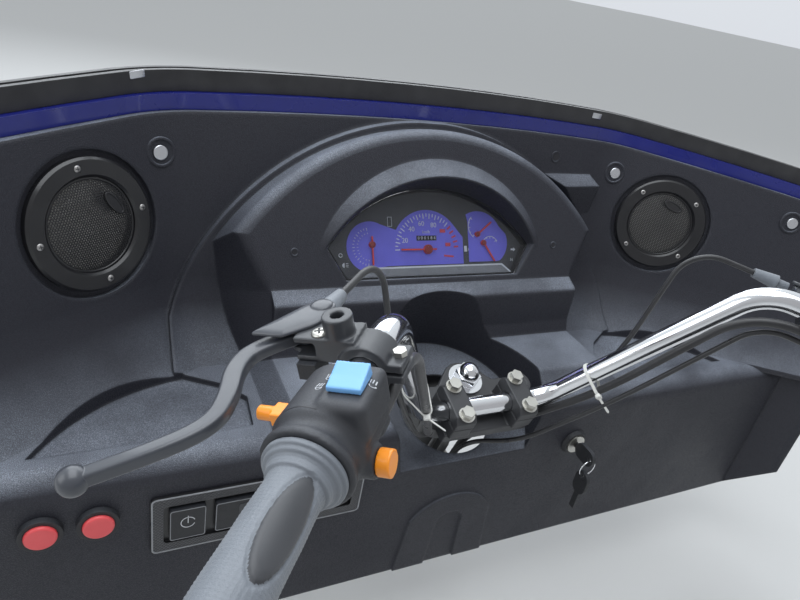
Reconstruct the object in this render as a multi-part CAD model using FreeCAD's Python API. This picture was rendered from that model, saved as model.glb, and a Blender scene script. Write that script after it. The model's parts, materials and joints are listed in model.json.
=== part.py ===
import FreeCAD, Part
import math
import os

V = FreeCAD.Vector

# Cockpit of an auto rickshaw: moulded dashboard, windscreen sill, steering head and handlebar.
# Millimetres. +X is the driver's right, +Y is forward, +Z is up.
# Shapes are drawn about the point midway between the two speakers (the drawing point), and
# moved at the end so that the origin is the centre of the bulkhead plate's front face.
PLATE_Y = 96.0            # bulkhead plate's front face, from the drawing point
PLATE_Z = -262.0          # bulkhead plate's centre, from the drawing point
FIT = 0.3                 # seating clearance between neighbouring pieces

# Dashboard moulding
WALL = 3.0
HALF_W = 600.0            # half the width of the whole dashboard
FAR = 2 * HALF_W          # beyond everything, for cutting blocks
RIM_Z = 108.0             # top edge of the panel at the middle
RIM_ARCH_R = 4750.0       # the top edge falls away towards the ends on this radius
RIM_Y = 65.0              # top edge of the panel at the middle
RIM_D = 34.0              # depth of the flange along the top edge
FLAT_X = 282.0            # where the straight middle stretch ends and the wrap begins
WRAP_R = 120.0            # radius of the wrap in plan
WRAP_A = 33.5             # angle of the two end panels
LEAN = 12.0               # backward lean of the panel from upright
FLARE_Z = -76.0           # height where the panel starts to flare out to the shelf
FLARE_N = 95.0            # how far the flare stands out at the shelf
SHELF_Z = -160.0          # shelf and ledge
FASCIA_Y = -185.0         # lower fascia
WING_W = 38.0             # width of each end wing
FASCIA_END_X = HALF_W - WING_W
WING_Y = -235.0           # the wings' outer corner
WING_RISE = 60.0          # the wings' lower edge climbs to their outer corner
FASCIA_BOTTOM = -400.0
NOSE_R = 24.0             # rounding of the ledge
ARCH_PROUD = 2.5          # raised arches on the fascia under the steering
# raised arches: half width at the foot and at the shoulder, height
ARCHES = [(66.0, 58.0, 118.0), (22.0, 19.0, 88.0)]
TRAY_DEEP = 7.0           # depth of the two leaf-shaped trays

# Platform round the steering bowl, and the step below the instruments
PLAT_X = 212.0
PLAT_FOOT_X = 236.0
PLAT_Z = -138.0
PLAT_Y = -142.0
STEP_Y = -58.0
STEP_Z = -76.0
PLAT_EDGE_R = 12.0
STEP_EDGE_R = 8.0
BOWL_R = 110.0
BOWL_FLOOR = -85.0        # from the steering point, along the steering axis
BOWL_HOLE_R = 58.0

# Instrument binnacle
FACE_Y = -38.0            # foot of the binnacle's face
FACE_Z = -66.0
FACE_LEAN = 21.7
FACE_HALF = 212.0         # half width at the foot
HOOD_HALF = 247.0         # half width at the hood's corners
HOOD_CORNER = 68.0        # height of the corners up the face
HOOD_TOP = 187.0          # height of the hood's top up the face
HOOD_EDGE_R = 14.0
CREST_R = 326.0           # outline of the binnacle where it meets the panel
CREST_CZ = -226.0
CREST_Y = 58.0
CREST_LOW_Z = -60.0
CREST_KNEE_X = 298.0
CREST_KNEE_Z = -110.0
CREST_FOOT_X = 292.0
RIDGE_R = 335.0           # raised ground round the binnacle
RIDGE_CZ = -226.5
RIDGE_LOW_Z = -112.0
RIDGE_PROUD = 8.0
VISOR_FOOT = 40.0         # height up the face where the visor round the lens starts
VISOR_HALF = 170.0        # half width and top of its foot
VISOR_TOP = 157.0
VISOR_RIM_HALF = 154.0    # and of its rim
VISOR_RIM_TOP = 131.0
VISOR_PROUD = 18.0        # rim above the face at the top
# wedge-shaped pad on the panel's right, its top's corners and its tip: across, height, proud
PAD = [(180.0, 58.0, -6.0), (272.0, 59.0, -6.0), (287.0, 38.0, 14.0), (223.0, 36.0, 14.0),
       (286.0, -21.0, -6.0)]

# Instrument lens, drawn on its own plane
LENS_Y = -32.0
LENS_Z = -60.0
LENS_LEAN = 30.0
LENS_BOTTOM = 121.0       # half width at the bottom
LENS_SIDE = 143.0         # half width at the sides' upper ends
LENS_SIDE_H = 38.0
LENS_TOP = 110.0
LENS_T = 2.5
BEZEL_GAP = 0.4           # between lens and moulding
CLUSTER_DEEP = 46.0
HOUSING_T = 2.0
DIAL_AT = 12.0            # dial face below the lens
# needles: across, up the lens, length, angle, tail, hub radius
NEEDLES = [(-82, 42, 25, -90, 10, 4), (-5, 35, 38, 180, 12, 6), (70, 53.5, 27, 36, 3, 3.5),
           (79, 42, 29, -57, 4, 3.5)]

# Speakers
SPK_X = 387.0
SPK_RING = 132.0
SPK_RECESS = 146.0
SPK_RECESS_DEEP = 6.0
SPK_MESH = 94.0
SPK_HOLE = 108.0
SPK_RING_H = 9.0
SPK_DOME = 6.0
SPK_BASKET_D = 104.0
SPK_BASKET_L = 48.0

# Radio, buttons and lock on the fascia
RADIO_X = -243.0
RADIO_Z = -234.0
RADIO_W = 210.0
RADIO_H = 66.0
RADIO_DEEP = 120.0
RADIO_PROUD = 3.0
RADIO_KEYS = [(-76, 34, 40), (9, 118, 38), (84, 24, 22)]
BUTTON_IN = 119.0         # first red button from the fascia's left end
BUTTON_PITCH = 46.0
BUTTON_XS = (BUTTON_IN - FASCIA_END_X, BUTTON_IN + BUTTON_PITCH - FASCIA_END_X)
BUTTON_Z = -214.0
BUTTON_D = 27.0
BUTTON_RING_D = 36.0
LOCK_X = 167.0
LOCK_Z = -231.0
LOCK_D = 27.0
LOCK_BEZEL_D = 37.0
LOCK_LEN = 45.0
LOCK_PROUD = 7.0
KEY_HEAD_R = 11.0
KEY_HEAD_HALF = 17.0
KEY_HEAD_T = 5.0
KEY_HOLE_R = 3.5
KEY_HOLE_IN = 6.5         # hole centre from the head's end
KEY_BLADE_W = 8.0
KEY_T = 2.2
KEY_IN = 14.0             # blade inside the lock
RING_R = 11.5
RING_WIRE = 0.9
CAPS = [(322, 58), (HALF_W - 49, 42)]   # across and height
CAP_R = 8.0
CAP_SUNK = 1.0
CAP_T = 3.2

# Windscreen sill and rubber seal
SILL_SET = 4.0            # sill's rear face behind the panel's top edge
SILL_H = 17.0
SILL_D = 26.0
SILL_T = 2.0
SILL_OVER = 6.0           # sill and seal beyond each end of the dashboard
SEAL_H = 22.0
SEAL_D = 20.0
GLASS_T = 6.5
GLASS_DEEP = 12.0

# Steering head and the frame behind the dashboard
STEER_Y = -147.0          # steering point: the axis at the height of the bar
STEER_Z = -125.0
RAKE = 18.0
TUBE_R = 22.0
TUBE_BORE = 16.0
TUBE_TOP = -62.0
TUBE_TAIL = 17.0          # head tube below the arm's underside
RACE_R = 25.0
RACE_H = 9.0
COLLAR_H = 8.0
STEM_R = 12.5
STEM_FOOT_R = 12.0        # stem below the cables' plate
STEM_PIN = 40.0           # free length of the stem's foot
STOP_R = 54.0             # plate on the stem's foot where the cables end
STOP_T = 4.0
ARM_W = 42.0
ARM_H = 60.0
ARM_T = 3.0
BEAM_R = 19.0
BEAM_WALL = 2.5
BEAM_Y = 20.0
BEAM_HALF = HALF_W - 60   # flanges stand in from the dashboard's ends
FLANGE = 70.0
FLANGE_T = 6.0
FLANGE_BOLT = 46.0
PLATE_W = 150.0
PLATE_H = 110.0
PLATE_T = 8.0
BOLT_DX = 110.0
BOLT_DZ = 70.0
BOLT_R = 5.5
BRACKET_X = 430.0
BRACKET_W = 34.0
BRACKET_T = 3.0

# Handlebar, about the steering point
BAR_R = 11.1
BAR_BORE = 9.1
BAR_SET = -46.0           # bar centre behind the steering axis
CLAMP_X = 41.0
CLAMP_W = 25.0
CLAMP_PITCH = 37.0
CLAMP_H = 17.0
BRACKET_TOP = -16.0       # underside of the bar's lower clamp blocks
BRACKET_THICK = 14.0
STEM_AF = 27.0
BAR_FLAT = 80.0
BAR_LOW_R = 43.0
BAR_FIT = 0.2
BEND_R = 52.0
BOLT_AF = 13.0

# Hand controls, in a frame at the bar's bend: x along the grip, y towards the lever, z up
BEND_OUT = 203.0
BEND_BACK = 92.5
BEND_UP = 223.5
BEND = V(BEND_OUT, -BEND_BACK, BEND_UP)
GRIP_DIR = V(0.652, -0.747, 0.124)
LEVER_DIR = V(0.70, 0.544, -0.461)
GRIP_START = 147.0
GRIP_LEN = 122.0
GRIP_R = 16.5
GRIP_FLANGE_R = 24.0
HOUSING_START = 82.0
HOUSING_R = 27.0
HORN_AT = (122.0, 0.0, -12.0)
HORN_Y = 30.0
PERCH_X = 50.0
PERCH_W = 24.0
PERCH_R = 18.0
BOSS_AT = (50.0, 17.0)
BOSS_R = 10.0
BOSS_BORE = 4.2
BOSS_TOP = 34.0
BOSS_DEEP = 22.0
PIVOT_AT = (40.0, 46.0)
LEVER_Z = 12.0
LEVER_T = 9.0
FORK_T = 4.0
LEVER_W = 13.0
BALL_R = 8.5
LEVER_LINE = [(40, 46), (62, 72), (86, 75), (113, 63), (137, 60), (164, 84), (187, 111)]
LOOM_AT = (-14.4, -19.2)  # loom beside the bar
THROTTLE_AT = (86.0, -6.0, -31.0)
CABLE_R = 2.8
LOOM_R = 4.5
# where each cable ends beside the stem, and its radius
CORD_FEET = {"lever_cable_left": (-24, -30, CABLE_R), "loom_left": (-12, -38, LOOM_R),
             "throttle_cable": (0, -48, CABLE_R), "loom_right": (12, -38, LOOM_R),
             "lever_cable_right": (24, -30, CABLE_R)}


def poly(points, plane=None):
    """Closed flat face from (a, b) points on a plane function, or from vectors."""
    pts = [plane(*p) if plane else p for p in points]
    return Part.Face(Part.makePolygon(pts + [pts[0]]))


def cyl(r, h, base=V(0, 0, 0), axis=V(0, 0, 1)):
    return Part.makeCylinder(r, h, base, axis)


def fuse(shapes):
    out = shapes[0]
    for s in shapes[1:]:
        out = out.fuse(s)
    return out.removeSplitter()


def rounded(shape, r, keep):
    """Round the edges whose two ends both pass the test."""
    ends = [(e, e.valueAt(e.FirstParameter), e.valueAt(e.LastParameter)) for e in shape.Edges]
    return shape.makeFillet(r, [e for e, a, b in ends if keep(a) and keep(b)])


def mirror(shape):
    return shape.mirror(V(0, 0, 0), V(1, 0, 0))


def both(shape):
    return [shape, mirror(shape)]


def cosd(a):
    return math.cos(math.radians(a))


def sind(a):
    return math.sin(math.radians(a))


def tand(a):
    return math.tan(math.radians(a))


# Plan line of the panel
def plan_point(x, n):
    """Point of the panel's plan line at |x|, moved n towards the driver along its normal."""
    s = 1.0 if x >= 0 else -1.0
    a = abs(x)
    wrap_x = FLAT_X + WRAP_R * sind(WRAP_A)
    if a <= FLAT_X:
        return (x, RIM_Y - n)
    if a <= wrap_x:
        ang = math.asin((a - FLAT_X) / WRAP_R)
        y = RIM_Y - WRAP_R * (1 - math.cos(ang))
    else:
        ang = math.radians(WRAP_A)
        y = RIM_Y - WRAP_R * (1 - cosd(WRAP_A)) - (a - wrap_x) * tand(WRAP_A)
    return (s * (a - n * math.sin(ang)), y - n * math.cos(ang))


def plan_edges(n, reach):
    """Edges of the plan line at offset n, from the left end to the right end."""
    r = WRAP_R - n
    cx, cy = FLAT_X, RIM_Y - WRAP_R
    mid = (cx + r * sind(WRAP_A / 2), cy + r * cosd(WRAP_A / 2))
    end = (cx + r * sind(WRAP_A), cy + r * cosd(WRAP_A))
    far = (end[0] + reach * cosd(WRAP_A), end[1] - reach * sind(WRAP_A))
    right = [V(cx, cy + r, 0), V(mid[0], mid[1], 0), V(end[0], end[1], 0), V(far[0], far[1], 0)]
    left = [V(-p.x, p.y, 0) for p in right]
    return [
        Part.LineSegment(left[3], left[2]).toShape(),
        Part.Arc(left[2], left[1], left[0]).toShape(),
        Part.LineSegment(left[0], right[0]).toShape(),
        Part.Arc(right[0], right[1], right[2]).toShape(),
        Part.LineSegment(right[2], right[3]).toShape(),
    ], left[3], right[3]


def end_run():
    """Length of each straight end panel, to just beyond the dashboard's end."""
    return (HALF_W + 60 - FLAT_X - WRAP_R * sind(WRAP_A)) / cosd(WRAP_A)


def ahead_of(n, z0, z1):
    """Everything on the driver's side of the plan line at offset n, between two heights."""
    edges, left, right = plan_edges(n, end_run())
    a, b = V(right.x, -FAR, 0), V(left.x, -FAR, 0)
    edges += [
        Part.LineSegment(right, a).toShape(),
        Part.LineSegment(a, b).toShape(),
        Part.LineSegment(b, left).toShape(),
    ]
    face = Part.Face(Part.Wire(edges))
    face.translate(V(0, 0, z0))
    return face.extrude(V(0, 0, z1 - z0))


def under_arch(rise):
    """Everything below the arched top edge, raised by rise."""
    r = RIM_ARCH_R
    x, top = HALF_W + 60, RIM_Z + rise
    drop = r - math.sqrt(r * r - x * x)
    a, b, c = V(-x, -FAR, top - drop), V(0, -FAR, top), V(x, -FAR, top - drop)
    d, e = V(x, -FAR, -FAR), V(-x, -FAR, -FAR)
    wire = Part.Wire([Part.Arc(a, b, c).toShape(), Part.LineSegment(c, d).toShape(),
                      Part.LineSegment(d, e).toShape(), Part.LineSegment(e, a).toShape()])
    return Part.Face(wire).extrude(V(0, 2 * FAR, 0))


def flare_profile(inset, top, low):
    """Section of the panel: leaning face, flare and foot, as a face of (offset, height)."""
    lean = (RIM_Z - FLARE_Z) * tand(LEAN)
    mid_n = lean + (FLARE_N - lean) * 0.38
    mid_z = FLARE_Z + (SHELF_Z - FLARE_Z) * 0.56
    a = V(-inset, 0, top)
    b = V(lean - inset, 0, FLARE_Z)
    m = V(mid_n - inset, 0, mid_z)
    c = V(FLARE_N - inset, 0, SHELF_Z)
    edges = [
        Part.LineSegment(a, b).toShape(),
        Part.Arc(b, m, c).toShape(),
        Part.LineSegment(c, V(FLARE_N - inset, 0, low)).toShape(),
        Part.LineSegment(V(FLARE_N - inset, 0, low), V(-60, 0, low)).toShape(),
        Part.LineSegment(V(-60, 0, low), V(-60, 0, top)).toShape(),
        Part.LineSegment(V(-60, 0, top), a).toShape(),
    ]
    return Part.Face(Part.Wire(edges))


def swept_panel(inset):
    """The panel's section carried along the plan line: straight, wrapped and straight."""
    top = RIM_Z - inset
    face = flare_profile(inset, top, SHELF_Z - 8)
    # the section's offset axis is turned to point at the driver
    face.rotate(V(0, 0, 0), V(0, 0, 1), -90)
    face.translate(V(0, RIM_Y, 0))
    middle = face.copy()
    middle.translate(V(-FLAT_X, 0, 0))
    middle = middle.extrude(V(2 * FLAT_X, 0, 0))
    edge = face.copy()
    edge.translate(V(FLAT_X, 0, 0))
    centre = V(FLAT_X, RIM_Y - WRAP_R, 0)
    wrap = edge.revolve(centre, V(0, 0, 1), -WRAP_A)
    end = edge.copy()
    end.rotate(centre, V(0, 0, 1), -WRAP_A)
    end = end.extrude(V(end_run() * cosd(WRAP_A), -end_run() * sind(WRAP_A), 0))
    return fuse([middle] + both(wrap) + both(end))


def shelf_block(inset):
    """Ledge and fascia with their end wings, rounded along the nose."""
    x1, x2 = FASCIA_END_X - inset * 0.4, HALF_W + 40
    slope = (WING_Y - FASCIA_Y) / (HALF_W - FASCIA_END_X)
    y1 = FASCIA_Y + inset
    y2 = y1 + slope * (x2 - x1)
    top = SHELF_Z - inset
    low = FASCIA_BOTTOM - (20 if inset else 0)
    pts = [(-x2, y2), (-x1, y1), (x1, y1), (x2, y2), (x2, 200), (-x2, 200)]
    face = poly([V(x, y, low) for x, y in pts])
    block = face.extrude(V(0, 0, top - low))
    edges = []
    for e in block.Edges:
        c = e.CenterOfMass
        if abs(c.z - top) < 0.01 and c.y < y1 + 0.01 and abs(c.x) < x2 - 1:
            edges.append(e)
    return block.makeFillet(NOSE_R - inset, edges)


def platform(inset):
    """Raised platform round the bowl: sloping sides and a front that falls to the ledge."""
    top = PLAT_Z - inset
    front, low = FASCIA_Y - 50, SHELF_Z - 23
    across = poly([V(-PLAT_FOOT_X - 20 + inset, front, low), V(-PLAT_X + inset, front, top),
                   V(PLAT_X - inset, front, top), V(PLAT_FOOT_X + 20 - inset, front, low)])
    y = FASCIA_Y + inset + 8
    along = poly([V(-FAR, 0, top), V(-FAR, PLAT_Y + inset, top), V(-FAR, y, SHELF_Z - 12),
                  V(-FAR, y, SHELF_Z - 60), V(-FAR, 0, SHELF_Z - 60)])
    block = across.extrude(V(0, FAR, 0)).common(along.extrude(V(2 * FAR, 0, 0)))
    return rounded(block, PLAT_EDGE_R - inset, lambda p: abs(p.z - top) < 0.01 and p.y < PLAT_Y + WALL + 1)


def face_point(x, s, deep=0.0):
    """Point on the binnacle's face: x across, s up the face, deep behind it."""
    y = FACE_Y + s * sind(FACE_LEAN) + deep * cosd(FACE_LEAN)
    z = FACE_Z + s * cosd(FACE_LEAN) - deep * sind(FACE_LEAN)
    return V(x, y, z)


def closed_outline(points, arc_mid):
    """Wire through the points, closed by an arc over arc_mid from the last to the first."""
    edges = [Part.LineSegment(points[i], points[i + 1]).toShape() for i in range(len(points) - 1)]
    edges.append(Part.Arc(points[-1], arc_mid, points[0]).toShape())
    return Part.Wire(edges)


def binnacle(inset):
    """Hooded block: its face outline lofted back to its crest line on the panel."""
    foot_s = (SHELF_Z - 8 - FACE_Z) / cosd(FACE_LEAN)
    fh, hh = FACE_HALF - inset, HOOD_HALF - inset
    front = [(-hh, HOOD_CORNER), (-fh, 0), (-fh, foot_s), (fh, foot_s), (fh, 0), (hh, HOOD_CORNER)]
    pts = [face_point(x, s, inset) for x, s in front]
    f = closed_outline(pts, face_point(0, HOOD_TOP - inset, inset))
    low_x = math.sqrt(CREST_R ** 2 - (CREST_LOW_Z - CREST_CZ) ** 2) - inset
    kx, gx = CREST_KNEE_X - inset, CREST_FOOT_X - inset
    back = [(-low_x, CREST_LOW_Z), (-kx, CREST_KNEE_Z), (-gx, SHELF_Z - 8),
            (gx, SHELF_Z - 8), (kx, CREST_KNEE_Z), (low_x, CREST_LOW_Z)]
    pts = [V(x, CREST_Y, z) for x, z in back]
    b = closed_outline(pts, V(0, CREST_Y, CREST_CZ + CREST_R - inset))
    block = Part.makeLoft([f, b], True, True)
    foot, ahead = face_point(0, 0, inset), face_point(0, 0, 1) - face_point(0, 0)
    return rounded(block, HOOD_EDGE_R - inset,
                   lambda p: abs((p - foot).dot(ahead)) < 0.05 and p.z > foot.z - 0.1)


def ridge(inset):
    """The panel's face raised a little within an arched outline round the binnacle."""
    r = RIDGE_R - inset
    x = math.sqrt(r * r - (RIDGE_LOW_Z - RIDGE_CZ) ** 2)
    pts = [(-x, RIDGE_LOW_Z), (-x, SHELF_Z - 8), (x, SHELF_Z - 8), (x, RIDGE_LOW_Z)]
    wire = closed_outline([V(a, -FAR, z) for a, z in pts], V(0, -FAR, RIDGE_CZ + r))
    return Part.Face(wire).extrude(V(0, 2 * FAR, 0)).common(swept_panel(inset - RIDGE_PROUD))


def visor(inset):
    """Visor round the lens: an arched foot on the face, lofted to a rim that rises to its top."""
    foot = [face_point(x, VISOR_FOOT, 4 + inset) for x in (inset - VISOR_HALF, VISOR_HALF - inset)]
    rim = [face_point(x, VISOR_FOOT, inset) for x in (inset - VISOR_RIM_HALF, VISOR_RIM_HALF - inset)]
    return Part.makeLoft([closed_outline(foot, face_point(0, VISOR_TOP - inset, 4 + inset)),
                          closed_outline(rim, face_point(0, VISOR_RIM_TOP - inset, inset - VISOR_PROUD))],
                         True, True)


def pad():
    """Wedge whose sloping top runs out down the panel."""
    corners = []
    for x, z, proud in PAD:
        p, n = panel_frame(x, z)
        corners.append(p + n * proud)
    a, b, c, d, tip = corners
    sides = [(a, b, c), (a, c, d), (d, c, tip), (c, b, tip), (a, d, tip), (a, tip, b)]
    return Part.Solid(Part.Shell([poly(side) for side in sides]))


def step(inset):
    """Step below the instruments: a narrow grained top and an upright front."""
    pts = [(STEP_Y - 4 + inset, PLAT_Z - 20), (STEP_Y + inset, STEP_Z - inset),
           (FACE_Y + inset, FACE_Z - inset), (40, FACE_Z - inset), (40, PLAT_Z - 20)]
    block = poly([V(-PLAT_X + inset, y, z) for y, z in pts]).extrude(V(2 * (PLAT_X - inset), 0, 0))
    return rounded(block, STEP_EDGE_R - inset,
                   lambda p: abs(p.y - STEP_Y - inset) < 0.01 and abs(p.z - STEP_Z + inset) < 0.01)


def steer(shape):
    """Place a shape drawn about the steering point with +Z along the steering axis."""
    out = shape.copy()
    out.rotate(V(0, 0, 0), V(1, 0, 0), RAKE)
    out.translate(V(0, STEER_Y, STEER_Z))
    return out


def steer_point(p):
    q = FreeCAD.Rotation(V(1, 0, 0), RAKE).multVec(p)
    return q.add(V(0, STEER_Y, STEER_Z))


def bowl(grow):
    """Round bowl about the steering axis, which also bites into the step."""
    return steer(cyl(BOWL_R + grow, 300, V(0, 0, BOWL_FLOOR - grow)))


def lens_point(x, s, deep=0.0):
    y = LENS_Y + s * sind(LENS_LEAN) + deep * cosd(LENS_LEAN)
    z = LENS_Z + s * cosd(LENS_LEAN) - deep * sind(LENS_LEAN)
    return V(x, y, z)


def lens_outline(grow, deep, grow_top=0.0):
    g = grow
    pts = [(-LENS_SIDE - g, LENS_SIDE_H), (-LENS_BOTTOM - g * 0.7, -g),
           (LENS_BOTTOM + g * 0.7, -g), (LENS_SIDE + g, LENS_SIDE_H)]
    return closed_outline([lens_point(x, s, deep) for x, s in pts],
                          lens_point(0, LENS_TOP + g + grow_top, deep))


def lens_well(grow):
    """Funnel from the binnacle's face down to the lens."""
    near = Part.makeLoft([lens_outline(24 + grow, -60, -13), lens_outline(grow + BEZEL_GAP, 0)],
                         True, True)
    shaft = Part.makeLoft([lens_outline(grow + BEZEL_GAP, 0.01 - 1),
                           lens_outline(grow + BEZEL_GAP, 14 if not grow else 4)], True, True)
    return near.fuse(shaft)


def panel_frame(x, z):
    """Point and outward normal (towards the driver) of the leaning panel at x, z."""
    n = (RIM_Z - z) * tand(LEAN)
    px, py = plan_point(x, n)
    s = 1.0 if x >= 0 else -1.0
    ang = WRAP_A if abs(x) > FLAT_X + WRAP_R * sind(WRAP_A) else math.degrees(
        math.asin(max(0.0, abs(x) - FLAT_X) / WRAP_R))
    nx, ny = -s * sind(ang), -cosd(ang)
    normal = V(nx * cosd(LEAN), ny * cosd(LEAN), sind(LEAN))
    return V(px, py, z), normal


def speaker_frame(side):
    return panel_frame(side * (SPK_X + 12), 0.0)


def speaker_cut(grow):
    cuts = []
    for side in (-1, 1):
        p, n = speaker_frame(side)
        base = p - n * (SPK_RECESS_DEEP + (WALL if grow else 0))
        cuts.append(cyl(SPK_RECESS / 2 + grow, 60, base, n))
    return cuts


def tray_outline(grow, side):
    """Leaf-shaped tray between the flare's foot, the platform and the ledge."""
    g = grow
    pts = [(250 - g, -146 - g), (246 - g, -100), (268 - g, -72 + g), (306, -48 + g)]
    tip = V(452 + g * 2, -150 - g, 0)
    mid = V(392 + g, -83 + g, 0)
    vs = [V(x, y, 0) for x, y in pts]
    edges = [Part.LineSegment(vs[i], vs[i + 1]).toShape() for i in range(3)]
    edges.append(Part.Arc(vs[3], mid, tip).toShape())
    edges.append(Part.LineSegment(tip, vs[0]).toShape())
    face = Part.Face(Part.Wire(edges))
    return face if side > 0 else mirror(face)


def between(x):
    """Everything from -x to x."""
    return Part.makeBox(2 * x, 2 * FAR, 2 * FAR, V(-x, -FAR, -FAR))


def skin(inset):
    """Solid bounded by the moulding's outer surface, or by its inner surface at inset WALL."""
    body = fuse([swept_panel(inset), ridge(inset), shelf_block(inset), platform(inset), step(inset),
                 binnacle(inset), visor(inset)])
    x = HALF_W - inset
    ends = between(x)
    body = body.common(ends)
    back = -RIM_D - (30 if inset else 0)
    body = body.common(ahead_of(back, FASCIA_BOTTOM - 30, RIM_Z + 5)).common(under_arch(-inset))
    cuts = [bowl(inset)] + speaker_cut(inset)
    for side in (-1, 1):
        face = tray_outline(inset, side)
        face.translate(V(0, 0, SHELF_Z - TRAY_DEEP - inset))
        cuts.append(face.extrude(V(0, 0, TRAY_DEEP + inset + 40)))
    cuts.append(lens_well(inset))
    for c in cuts:
        body = body.cut(c)
    return body


def arch(half, shoulder, height):
    """Arched plate on the fascia, standing on its lower edge."""
    y, low = FASCIA_Y - ARCH_PROUD, FASCIA_BOTTOM
    knee = low + height * 0.72
    feet = [V(shoulder, y, knee), V(half, y, low), V(-half, y, low), V(-shoulder, y, knee)]
    face = Part.Face(closed_outline(feet, V(0, y, low + height)))
    return face.extrude(V(0, ARCH_PROUD + 1, 0))


def wing_cut():
    """Wedge below each wing's rising lower edge."""
    x, rise = HALF_W + 1, WING_RISE * (HALF_W + 1 - FASCIA_END_X) / WING_W
    pts = [V(FASCIA_END_X, -FAR, FASCIA_BOTTOM), V(x, -FAR, FASCIA_BOTTOM + rise),
           V(x, -FAR, FASCIA_BOTTOM - 1), V(FASCIA_END_X, -FAR, FASCIA_BOTTOM - 1)]
    return poly(pts).extrude(V(0, 2 * FAR, 0))


def dash_panel():
    outer, inner = (arch(*size) for size in ARCHES)
    shell = skin(0.0).fuse(pad()).cut(skin(WALL)).fuse(outer.cut(inner))
    holes = both(wing_cut())
    for side in (-1, 1):
        p, n = speaker_frame(side)
        holes.append(cyl(SPK_HOLE / 2, 60, p - n * 30, n))
    holes.append(steer(cyl(BOWL_HOLE_R, 40, V(0, 0, BOWL_FLOOR - 20))))
    holes.append(Part.makeBox(RADIO_W, 40, RADIO_H,
                              V(RADIO_X - RADIO_W / 2, FASCIA_Y - 20, RADIO_Z - RADIO_H / 2)))
    for x in BUTTON_XS:
        holes.append(cyl(BUTTON_D / 2 - 2, 40, V(x, FASCIA_Y - 20, BUTTON_Z), V(0, 1, 0)))
    holes.append(cyl(LOCK_D / 2, 40, V(LOCK_X, FASCIA_Y - 20, LOCK_Z), V(0, 1, 0)))
    holes.append(Part.makeLoft([lens_outline(BEZEL_GAP, -3), lens_outline(BEZEL_GAP, 30)], True, True))
    holes += [cyl(CAP_R + FIT, 10, p, n) for p, n in cap_frames()]
    for h in holes:
        shell = shell.cut(h)
    return shell


def place(shape):
    """From the drawing point to the part's origin."""
    out = shape.copy()
    out.translate(V(0, -PLATE_Y, -PLATE_Z))
    return out


def strip(back, depth):
    """Band along the plan line, from back behind it to back + depth."""
    return ahead_of(-back - depth, 0, 2 * RIM_Z).cut(ahead_of(-back, 0, 2 * RIM_Z))


def windscreen_sill():
    """Painted sheet channel along the dashboard's top edge."""
    outer = strip(SILL_SET, SILL_D).common(under_arch(FIT + SILL_H)).cut(under_arch(FIT))
    inner = strip(SILL_SET + SILL_T, SILL_D - 2 * SILL_T).common(under_arch(FIT + SILL_H - SILL_T))
    return outer.cut(inner).common(between(HALF_W + SILL_OVER))


def windscreen_seal():
    """Rubber section on the sill, with the slot that takes the glass."""
    low = FIT + SILL_H + FIT
    front = SILL_SET + SILL_D + 2 - SEAL_D
    bar = strip(front, SEAL_D)
    slot = strip(front + (SEAL_D - GLASS_T) / 2, GLASS_T).cut(under_arch(low + SEAL_H - GLASS_DEEP))
    bar = bar.common(under_arch(low + SEAL_H)).cut(under_arch(low)).cut(slot)
    return bar.common(between(HALF_W + SILL_OVER))


def tube_foot():
    """Lower end of the head tube on the steering axis, a tail's length below the arm."""
    arm_low = (PLATE_Z - ARM_H / 2 - STEER_Z) / cosd(RAKE)
    return arm_low - TUBE_R * tand(RAKE) - TUBE_TAIL


def steering_head():
    """Head tube with its bearing races, the arm forward to the bulkhead plate, and the plate."""
    foot_z = tube_foot()
    tube = cyl(TUBE_R, TUBE_TOP - foot_z, V(0, 0, foot_z))
    tube = tube.fuse(cyl(RACE_R, RACE_H, V(0, 0, TUBE_TOP - RACE_H)))
    tube = tube.fuse(cyl(RACE_R, RACE_H, V(0, 0, foot_z)))
    tube = steer(tube)
    axis_y = STEER_Y - (PLATE_Z - STEER_Z) * tand(RAKE)
    arm = Part.makeBox(ARM_W, PLATE_Y - axis_y, ARM_H, V(-ARM_W / 2, axis_y, PLATE_Z - ARM_H / 2))
    hollow = Part.makeBox(ARM_W - 2 * ARM_T, PLATE_Y - axis_y, ARM_H - 2 * ARM_T,
                          V(ARM_T - ARM_W / 2, axis_y, PLATE_Z - ARM_H / 2 + ARM_T))
    plate = Part.makeBox(PLATE_W, PLATE_T, PLATE_H,
                         V(-PLATE_W / 2, PLATE_Y - PLATE_T, PLATE_Z - PLATE_H / 2))
    upright = [e for e in plate.Edges if abs(e.tangentAt(e.FirstParameter).y) > 0.9]
    plate = plate.makeFillet(12, upright)
    for sx in (-1, 1):
        for sz in (-1, 1):
            at = V(sx * BOLT_DX / 2, PLATE_Y - 2 * PLATE_T, PLATE_Z + sz * BOLT_DZ / 2)
            plate = plate.cut(cyl(BOLT_R, 3 * PLATE_T, at, V(0, 1, 0)))
    body = fuse([arm.fuse(plate).cut(hollow), tube])
    bore = steer(cyl(TUBE_BORE, TUBE_TOP - foot_z + 4, V(0, 0, foot_z - 2)))
    return body.cut(bore)


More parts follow.
